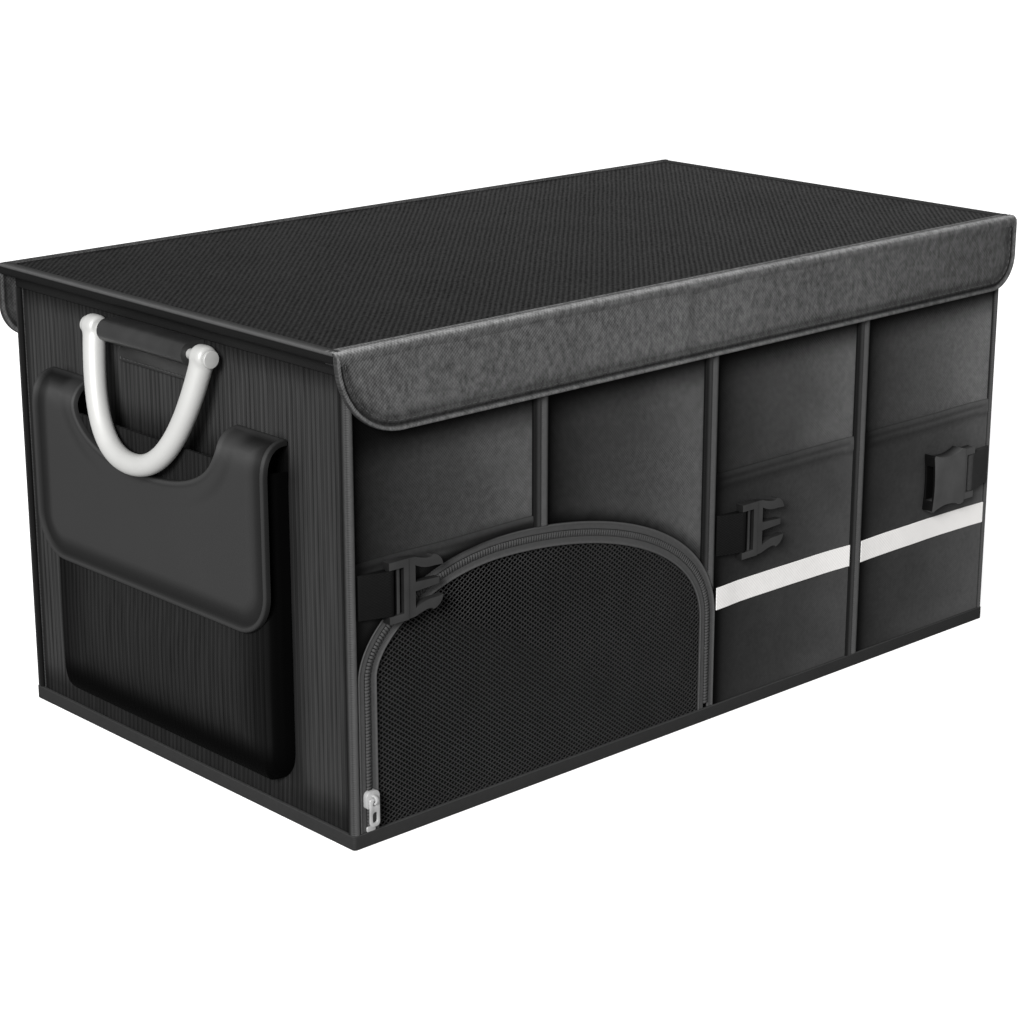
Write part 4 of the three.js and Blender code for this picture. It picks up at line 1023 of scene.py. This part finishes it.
def buildFlap(node, sign, body):
    seen = [flap["left"], flap["right"]] if sign < 0 else [flap["right"], flap["left"]]
    outline = roundedRectangle(-flap["halfX"], flap["bottom"], flap["halfX"], flap["top"], seen + [0, 0], 24)
    sewnEdge = np.array(outline[-1:] + outline[:-1])       # all but the fold on top

    def edgeAway(u, v):
        return distanceToLine(np.column_stack([u, v]), sewnEdge, closed=False)

    def front(u, v, d):
        away = edgeAway(u, v)
        crease = -0.8 * near(u, flap["creaseAt"], 5.0) * smoothStep(away, 3, 12) if sign < 0 else 0.0
        rise = np.clip((v - (flap["top"] - flap["fold"])) / flap["fold"], 0.0, 1.0)
        fold = flap["fold"] * (1.0 - np.sqrt(1.0 - rise ** 2))
        return flap["outer"] + flapOffset(away) + crease + 0.18 * ripple(u, v, 2.1) * smoothStep(away, 4, 14) - fold

    def tone(u, v, d):
        away = edgeAway(u, v)
        # painted highlight along the top fold; painted shade in the crease with painted light beside it, and painted
        # light falling off along the flap
        folded = smoothStep(v, flap["top"] - 3.4, flap["top"] - 1.8) * smoothStep(away, 5, 9)
        creaseShadeAndLight = -0.2 * near(u, flap["creaseAt"], 7.0) + 0.12 * near(u, flap["creaseAt"] - 14, 9.0) if sign < 0 else 0.0
        creaseShadeAndLight = creaseShadeAndLight + np.interp(u, (-280, -20, 150, 280), (0.06, 0.16, 0.0, -0.2))
        return (1 + np.interp(away, flapShade["at"], flapShade["tone"])) * (1 + folded) * (1 + creaseShadeAndLight) - 1

    form = sheetMesh(outline, [0.5, 1.2, 2.0, 2.8, 3.6, 4.4, 5.4, 6.6, 7.6, 8.8, 10.6, 13.0], 4.5, front,
                     level(flap["inner"]), lambda u, v, h: (u, sign * h, v), 2.2, tone)
    piece = addPiece(f"bound_{node}", form, cloth["oxfordFlap"], body, "flap_cloth", node, f"{node}_binding")
    declareSheet(piece, outline, "hung", "taped_lid_fold" if sign < 0 else "covered_rear_panel_left")
    seam = flap["stitchedAt"]
    inset = roundedRectangle(-flap["halfX"] + seam, flap["bottom"] + seam, flap["halfX"] - seam, flap["top"] - 4,
                             [seen[0] - seam, seen[1] - seam, 0, 0], 24)
    row = [(u, sign * (flap["outer"] + 0.05), v) for u, v in inset[-1:] + inset[:-1]]
    stitchRow(f"stitches_{node}", [row], body)


def buildLidEdge():
    # piping round the lid's free edges; in front it is the fold that the flap hangs from
    halfX, edgeY, z = 283.0, 155.7, 275.0
    section = [(0.0, -0.5), (0.0, -1.5), (0.25, -2.1), (0.0, -2.8), (0.0, -5.2), (0.5, -6.3), (1.6, -6.8), (6.2, -6.8),
               (6.8, -6.3), (6.8, -5.9), (3.2, -5.9), (3.2, -1.1), (6.6, -1.1), (6.9, -0.75), (6.6, -0.3), (5.4, 0.12),
               (4.0, 0.2), (2.6, 0.1), (1.0, -0.05), (0.3, -0.2)]
    # a painted highlight on the thin top bead, and the face under the lid's edge painted near black as its shadow
    tones = [0.3, 0.1, -0.9, -0.9, -0.9, -0.95, -0.95, -0.95, -0.95, -0.95, -0.95, -0.95, -0.7, -0.6, -0.6, -0.5,
             -0.4, -0.2, 0.1, 0.3]
    for side, sign in (("left", -1), ("right", 1)):
        path = [(sign * halfX, y, z) for y in np.linspace(-edgeY + 0.2, edgeY, 60)]
        addPiece(f"taped_lid_edge_{side}", sweepMesh(path, section, (-sign, 0, 0), (0, 0, 1), tones),
                 cloth["bindingTape"], "lid", "binding_tape", "lid_edge_binding", smoothAngle=60)
    # front fold: two rows of cloth turned under, painted light as a pair of lines, with painted shade between and
    # below them
    fold = [(0.0, -6.4), (0.0, -1.6), (0.35, -0.6), (1.2, -0.05), (2.3, 0.15), (3.3, -0.05), (3.9, -0.75),
            (4.5, -0.1), (5.6, 0.1), (7.0, 0.0), (7.9, -0.5), (8.0, -1.0), (3.2, -1.1), (3.2, -6.0), (6.6, -6.0),
            (6.6, -6.6), (0.6, -6.7)]
    foldTones = [-0.8, -0.5, 1.0, 1.6, 1.2, 0.0, -0.8, 0.3, 0.9, 0.3, -0.5, -0.7, -0.8, -0.8, -0.8, -0.8, -0.8]
    path = [(x, -edgeY, z) for x in np.linspace(-halfX + 0.3, halfX - 0.3, 120)]
    addPiece("taped_lid_fold", sweepMesh(path, fold, (0, 1, 0), (0, 0, 1), foldTones), cloth["oxfordFlap"],
             "lid", "flap_cloth", "lid_edge_binding", smoothAngle=60)


def buildFoldCloth(name, sign, lead, tones):
    # The cloth that runs from the lid over the fold to the flap, round the corner where the lid's joint has its axis.
    radius, under, over, count = flap["fold"], 0.05, 0.45, 15
    y0, z0 = flap["outer"] - radius, flap["top"] - radius
    angles = np.linspace(0, 90, count)

    def curve(away):
        return [(-(radius + away) * math.cos(a), (radius + away) * math.sin(a)) for a in np.radians(angles)]

    # the lower edge runs into the flap's face, the lead onto the lid
    tail = [(-radius + 0.7, -3.6), (-radius + 0.4, -3.6), (-radius - 0.2, -1.4)]
    section = tail + curve(over) + lead + curve(under)[::-1]
    # painted highlight along the front fold's top and painted shade on the cloth's underside; the rear fold is darker
    # on top
    shades = [tones[0]] * len(tail) + list(np.interp(angles, (0, 30, 60, 90), tones)) \
        + [tones[3]] * len(lead) + [-0.8] * count
    run = [(x, sign * y0, z0) for x in np.linspace(-flap["halfX"] + 0.4, flap["halfX"] - 0.4, 90)]
    piece = makeObject(name, sweepMesh(run, section, (0, -sign, 0), (0, 0, 1), shades), cloth["oxfordFlap"], 60)
    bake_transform(piece)


buildLidBoard()
buildFlap("lid_front_flap", -1, "lid_flap")
buildFlap("lid_rear_flap", 1, "box")
buildLidEdge()
buildFoldCloth("front_fold_cloth", -1, [(0.4, 3.7), (0.4, 3.1)], (0.0, 0.1, 1.7, 2.4))
buildFoldCloth("rear_fold_cloth", 1, [(2.4, 3.8), (3.4, 2.8), (2.6, 2.6), (1.0, 3.2)],
               (0.0, 0.0, -0.2, -0.3))
print("lid made")

# End pockets, their flaps and the handles.
endFlap = {"centre": 7.5, "halfWidth": 110.5, "bottom": 108.0, "top": 217.0, "corner": 26.0, "offset": 15.2,
           "shoulder": 20.0, "thickness": 2.5, "beadHalf": 1.6, "scoopHalf": 68.0, "knee": 206.0, "scoopBottom": 178.5}


def buildEndPocket(side, sign):
    look = endPocket
    half = look["halfWidth"] + look["gusset"]
    lowZ = look["bottom"] - look["gussetBottom"]
    us = np.linspace(-1, 1, int(2 * half / look["rib"] * 6) + 1)
    vs = np.concatenate([lowZ + np.linspace(0, 26, 24), np.linspace(48, look["top"], 30)])

    def spread(v):
        radius = look["corner"] + 4
        below = np.clip(lowZ + radius - v, 0, radius)
        return half - (radius - np.sqrt(np.clip(radius ** 2 - below ** 2, 0, None)))

    def height(u, v):
        y = u * spread(v)
        rise = lambda away, reach: np.clip(1.0 - (1.0 - np.clip(away / reach, 0, 1)) ** 2.4, 0, 1) ** (1 / 1.6)
        body = np.minimum(rise(spread(v) - np.abs(y), look["gusset"] + 1.5),
                          rise(v - lowZ, look["gussetBottom"] + 1.5))
        belly = look["belly"] * np.cos(np.clip(np.abs(y) / spread(v), 0, 1) * math.pi / 2) \
            * smoothStep(v, lowZ, 60) * (1 - smoothStep(v, 75, 112))
        return look["depth"] * body, belly, y

    def front(u, v):
        rise, belly, y = height(u, v)
        on = smoothStep(rise, 0.8 * look["depth"], look["depth"])
        return box["wallX"] + 0.1 + rise + belly + on * ribHeight(y, look["rib"], look["ribHeight"])

    def back(u, v):
        rise, belly, y = height(u, v)
        return box["wallX"] + np.maximum(rise - look["wall"], 0.0)

    def place(u, v, h):
        y = look["centre"] + u * spread(v)
        return sign * h, -sign * y, v

    def tone(u, v):
        # the gusset is painted near black, partly as black cloth and partly as painted shadow, and the face is painted
        # darker towards it
        rise, belly, y = height(u, v)
        face = smoothStep(rise, 0.72 * look["depth"], 0.98 * look["depth"])
        inset = np.minimum(spread(v) - np.abs(y) - look["gusset"], 1.2 * (v - lowZ - look["gussetBottom"]))
        # painted shade at the top, where the pocket lies in the scoop under the flap, and near black over the bottom
        # gusset as painted shadow
        inScoop = (1 - 0.2 * smoothStep(v, 160, 176)) * (0.05 + 0.95 * smoothStep(v, lowZ + 14, lowZ + 30))
        return (0.06 + 0.94 * face) * (1 - 0.7 * (1 - smoothStep(inset, -4, 36))) * inScoop - 1

    form = gridMesh(us, vs, front, back, place, tone)
    piece = addPiece(f"gusseted_{side}_pocket", form, cloth["cordedPocket"], "box", "pocket_cloth",
                     f"{side}_end_pocket", smoothAngle=60)
    cut = 2 * (half + look["depth"]), look["top"] - lowZ + look["depth"]
    declareSheet(piece, [(0, 0), (cut[0], 0), cut, (0, cut[1])], "stretched", f"corded_{side}_end")


# painted light and shade across the end flap's border: dark at the very edge, a painted highlight on the bead, painted
# shade in the sewn band
flapBand = {"at": (0.0, 0.7, 2.4, 3.4, 4.4, 9.0, 12.0, 15.0),
            "tone": (-0.6, -0.1, 0.05, -0.6, -0.7, -0.55, -0.2, 0.0)}


def flapSpine():
    # profile of the end flap's middle, from the wall over the shoulder and down
    look = endFlap
    start = 0.3 + look["thickness"] / 2
    top = look["top"] - look["thickness"] / 2
    t = np.linspace(0, 1, 24)[:, None]
    curve = ((1 - t) ** 2 * np.array([start, top]) + 2 * (1 - t) * t * np.array([look["offset"], top])
             + t ** 2 * np.array([look["offset"], look["top"] - look["shoulder"]]))
    spine = np.vstack([[(0.3, top)], curve, [(look["offset"], look["bottom"])]])
    lengths = np.concatenate([[0], np.cumsum(np.hypot(*np.diff(spine, axis=0).T))])
    return spine, lengths


spine, spineLengths = flapSpine()
spineTotal = spineLengths[-1]


def spineAt(s):
    # point and outward normal of the profile at a height s above the flap's lower edge, measured along the cloth
    fromTop = spineTotal - np.asarray(s)
    at = lambda where: np.array([np.interp(where, spineLengths, spine[:, axis]) for axis in (0, 1)])
    x, z = at(fromTop)
    aheadX, aheadZ = at(fromTop + 0.6) - at(fromTop - 0.6)
    length = np.maximum(np.hypot(aheadX, aheadZ), 1e-9)
    return x, z, -aheadZ / length, aheadX / length


def clothHeight(z):
    # distance along the cloth from the lower edge to a height z of the profile
    zs = spine[::-1, 1]
    return np.interp(z, zs, (spineTotal - spineLengths)[::-1])


def buildEndFlap(side, sign):
    look = endFlap
    centre, half = look["centre"], look["halfWidth"]
    corner, scoop, low = look["corner"], look["scoopHalf"], look["scoopBottom"]
    cut = roundedRectangle(centre - half, 0.0, centre + half, spineTotal, [corner, corner, 0, 0], 16)
    bay = bezier((centre + scoop, look["knee"]), (centre + scoop * 0.92, low + 9), (centre + scoop * 0.53, low),
                 (centre, low), 26)
    bay[:, 1] = clothHeight(bay[:, 1])
    other = bay[:-1][::-1].copy()
    other[:, 0] = 2 * centre - other[:, 0]
    outline = cut[:-1] + [(centre + scoop, spineTotal)] + [tuple(point) for point in np.vstack([bay, other])] \
        + [(centre - scoop, spineTotal), cut[-1]]

    def front(u, v, d):
        # thin bead, a broad low band that is sewn flat, then the face rises softly
        bead = np.sqrt(np.clip(1.0 - ((d - look["beadHalf"]) / look["beadHalf"]) ** 2, 0.0, 1.0))
        band = -1.1 * smoothStep(d, 3.0, 4.4) * (1 - smoothStep(d, 9.5, 15.0)) * inBand(u, v)
        return look["thickness"] / 2 + np.where(d < 2 * look["beadHalf"], bead, 0.0) + band

    def inBand(u, v):
        # the scoop's edge has only the bead
        aside = np.hypot((u - centre) / (scoop + 14), (v - spineTotal) / (spineTotal - clothHeight(low) + 16))
        return smoothStep(aside, 0.97, 1.1)

    def tone(u, v, d):
        edge = np.interp(d, flapBand["at"], flapBand["tone"]) * inBand(u, v)
        # a thin painted highlight along the scoop's edge, and a painted highlight on the shoulder's crest with painted
        # shade above it
        rim = np.interp(d, (0.0, 0.6, 2.2, 3.4), (-0.4, 0.3, 0.15, 0.0)) * (1 - inBand(u, v))
        lean = spineAt(v)[3]
        shoulder = 0.5 * near(lean, 0.35, 0.17) - 0.3 * smoothStep(lean, 0.55, 0.95)
        return (1 + edge) * (1 + rim) * (1 + shoulder) - 1

    def place(u, v, h):
        x, z, nx, nz = spineAt(v)
        return sign * (box["wallX"] + x + h * nx), -sign * u, z + h * nz

    form = sheetMesh(outline, [0.5, 1.2, 2.2, 3.0, 3.8, 4.8, 6.4, 8.0, 9.6, 11.4, 13.4, 15.6], 4.0, front,
                     level(-look["thickness"] / 2), place, 2.2, tone)
    piece = addPiece(f"bound_{side}_pocket_flap", form, cloth["calenderedFlap"], "box", "flap_cloth",
                     f"{side}_pocket_flap", f"{side}_pocket_flap_binding")
    declareSheet(piece, outline, "hung", f"corded_{side}_end")


handle = {"centre": 7.8, "height": 253.0, "rodX": 282.0, "tilt": 12.0, "halfSpan": 51.5, "length": 68.7, "tube": 6.3,
          "knee": (44.0, 42.0), "foot": 30.0, "eye": 7.0, "eyeHalf": 5.5, "voxel": 0.0009}


def buildBail(side, sign):
    look = handle
    leg = bezier((look["halfSpan"], 0.0), (look["knee"][0], -look["knee"][1]), (look["foot"], -look["length"]),
                 (0.0, -look["length"]), 40)
    other = leg[:-1][::-1].copy()
    other[:, 0] *= -1
    line = np.vstack([leg, other])
    along = np.gradient(line, axis=0)
    along /= np.hypot(*along.T)[:, None]
    angles = np.linspace(0, 2 * math.pi, 28, endpoint=False)
    ring = np.column_stack([np.cos(angles), np.sin(angles)])
    vertices, faces = [], tubeFaces(len(line), len(ring))
    for index, (point, direction) in enumerate(zip(line, along)):
        end = min(index, len(line) - 1 - index) / 12
        radius = look["tube"] * (1.0 + 0.06 * max(0.0, 1.0 - end))
        vertices += [(radius * s, point[0] - direction[1] * radius * c, point[1] + direction[0] * radius * c)
                     for c, s in ring]
    half, eye = look["eyeHalf"], look["eye"]
    rings = [(-half, eye - 1.6), (-half + 1.2, eye - 0.4), (-half + 2.6, eye), (half - 2.6, eye),
             (half - 1.2, eye - 0.4), (half, eye - 1.6)]
    for end in (-1, 1):
        faces += [tuple(len(vertices) + corner for corner in face) for face in tubeFaces(len(rings), len(ring))]
        vertices += [(radius * s, end * look["halfSpan"] + offset, radius * c)
                     for offset, radius in rings for c, s in ring]
    # local X leans away from the wall as the bail rests against the pocket
    x, y, z = np.array(vertices).T
    tilt = math.radians(look["tilt"])
    away, up = x * math.cos(tilt) + z * math.sin(tilt), -x * math.sin(tilt) + z * math.cos(tilt)
    placed = np.column_stack([sign * (look["rodX"] - away), -sign * (look["centre"] + y), look["height"] + up])
    blank = makeObject(f"{side}_bail_blank", (placed, faces, None), moulded["anodisedBail"])
    # the casting runs together where leg and eye meet, so both are remeshed as one and eased
    fused = blank.modifiers.new("fused", "REMESH")
    fused.mode = "VOXEL"
    fused.voxel_size = look["voxel"]
    eased = blank.modifiers.new("eased", "SMOOTH")
    eased.factor = 0.5
    eased.iterations = 10
    cast = applied(blank, f"cast_{side}_bail")
    for face in cast.data.polygons:
        face.use_smooth = True
    settle(cast, f"{side}_bail", "handle_alloy", f"{side}_handle_bail")


def buildSleeve(side, sign):
    look = handle
    radius, half = 6.5, 40
    wall = look["rodX"] - box["wallX"] - 0.3
    nose = [(radius * math.cos(a), radius * math.sin(a)) for a in np.radians(np.linspace(78, -78, 30))]
    # the patch that is sewn to the wall under the rod
    patch = [(-0.5, -radius), (-wall + 2.2, -radius - 1.6), (-wall + 1.7, -radius - 4.0), (-wall + 1.7, -18.2),
             (-wall + 1.2, -18.9), (-wall, -19.0)]
    section = [(-wall, radius - 0.2), (-1.0, radius)] + nose + patch
    path = [(sign * look["rodX"], -sign * (look["centre"] + y), look["height"]) for y in np.linspace(-half, half, 60)]
    addPiece(f"sewn_{side}_sleeve", sweepMesh(path, section, (sign, 0, 0), (0, 0, 1)), moulded["coatedSleeve"],
             "box", "sleeve_skin", f"{side}_handle_sleeve")

    def onPatch(y, z):
        return sign * (box["wallX"] + 2.2), -sign * (look["centre"] + y), look["height"] - z

    seam, low = half - 2, 17.2
    rows = [[onPatch(y, low) for y in (-seam, seam)]] + [[onPatch(y, z) for z in (10.8, low)] for y in (-seam, seam)]
    stitchRow(f"stitches_{side}_sleeve", rows, "box", 3.6)


for sideName, sideSign in (("left", -1), ("right", 1)):
    buildEndPocket(sideName, sideSign)
    buildEndFlap(sideName, sideSign)
    buildBail(sideName, sideSign)
    buildSleeve(sideName, sideSign)
    dressNode(f"{sideName}_handle_rod", moulded["turnedRod"], "zip_metal", "box", 0.4, 3)
print("ends made")

# Buckles, tabs and the loose boards inside.
def maleTone(place, normal):
    # painted shade on the sides, painted light on the faces that look forward
    return np.where(np.abs(normal[:, 0]) > 0.7, -0.6, 0.5 * smoothStep(-normal[:, 1], 0.5, 1))


def femaleTone(place, normal):
    # painted light and shade: only its front is light, with a painted highlight on the upper edges, and its back and
    # left side are painted dark as shade
    lit = 1.5 + 0.8 * smoothStep(place[:, 2], 0, 1) * smoothStep(normal[:, 2], 0.2, 0.8)
    return np.where((place[:, 1] > place[:, 1].min() + 1.6) | (normal[:, 0] < -0.6), -0.9, lit)


dressNode("buckle_male_1", moulded["mouldedAcetal"], "black_plastic", "buckle_left", 0.55, 3, maleTone)
dressNode("buckle_male_2", moulded["mouldedAcetal"], "black_plastic", "buckle_middle", 0.55, 3, maleTone)
dressNode("buckle_female", moulded["mouldedAcetal"], "black_plastic", "buckle_right", 0.7, 3, femaleTone)
for number in (1, 2, 3):
    dressNode(f"webbing_tab_{number}", cloth["tabWebbing" if number < 3 else "pocketCloth"], "binding_tape", "box",
              0.3, 2)
for node in ("base_board_left", "base_board_right", "divider", "floor_cloth"):
    dressNode(node, cloth["oxfordLining"], "board_cloth" if node != "divider" else "panel_cloth", "box", 0.6, 2)
print("fittings made")

# Camera, floor and lights.
view = {"azimuth": -42.9, "elevation": 17.1, "distance": 1575.0, "target": (-16.0, 0.0, 101.0), "lens": 87.26}


def buildStage():
    azimuth, elevation = math.radians(view["azimuth"]), math.radians(view["elevation"])
    back = Vector((math.sin(azimuth) * math.cos(elevation), -math.cos(azimuth) * math.cos(elevation),
                   math.sin(elevation)))
    camera = linked("camera", bpy.data.cameras.new("camera"))
    camera.data.lens = view["lens"]
    camera.data.sensor_width = 36.0
    camera.data.clip_end = 50.0
    camera.location = Vector(view["target"]) * 0.001 + back * view["distance"] * 0.001
    camera.rotation_euler = (-back).to_track_quat("-Z", "Y").to_euler()
    bpy.context.scene.camera = camera

    floorMesh = bpy.data.meshes.new("floor")
    reach, under = 14, -0.0005
    floorMesh.from_pydata([(-reach, -reach, under), (reach, -reach, under), (reach, reach, under),
                           (-reach, reach, under)], [], [(0, 1, 2, 3)])
    floor = linked("floor", floorMesh)
    white = bpy.data.materials.new("white paper")
    white.use_nodes = True
    shader = white.node_tree.nodes["Principled BSDF"]
    for label, value in (("Base Color", (0.9, 0.9, 0.9, 1)), ("Roughness", 1.0), ("Specular IOR Level", 0.0),
                         ("Emission Color", (1, 1, 1, 1)), ("Emission Strength", 0.7)):
        shader.inputs[label].default_value = value
    floorMesh.materials.append(white)
    floor.visible_diffuse = False       # the white paper doesn't light the dark cloth from below
    floor.visible_glossy = False

    world = bpy.data.worlds.new("studio")
    world.use_nodes = True
    sky = world.node_tree.nodes["Background"].inputs
    sky["Color"].default_value, sky["Strength"].default_value = (1, 1, 1, 1), 0.35
    bpy.context.scene.world = world

    def area(name, place, aim, size, power, mirrored):
        light = bpy.data.lights.new(name, "AREA")
        light.shape = "RECTANGLE"
        light.size, light.size_y = size
        light.energy = power
        lamp = linked(name, light)
        lamp.location = place
        lamp.visible_camera = False
        lamp.visible_glossy = mirrored
        lamp.rotation_euler = (Vector(aim) - Vector(place)).to_track_quat("-Z", "Y").to_euler()

    area("left soft box", (-5.4, -3.12, 2.9), (0, 0, 0.12), (2.2, 2.2), 600, True)
    area("low rear fill", (4.0, 4.6, 0.13), (0, 0, 0.13), (2.6, 0.24), 260, False)
    bpy.context.scene.view_settings.view_transform = "Standard"


buildStage()
print("stage made")
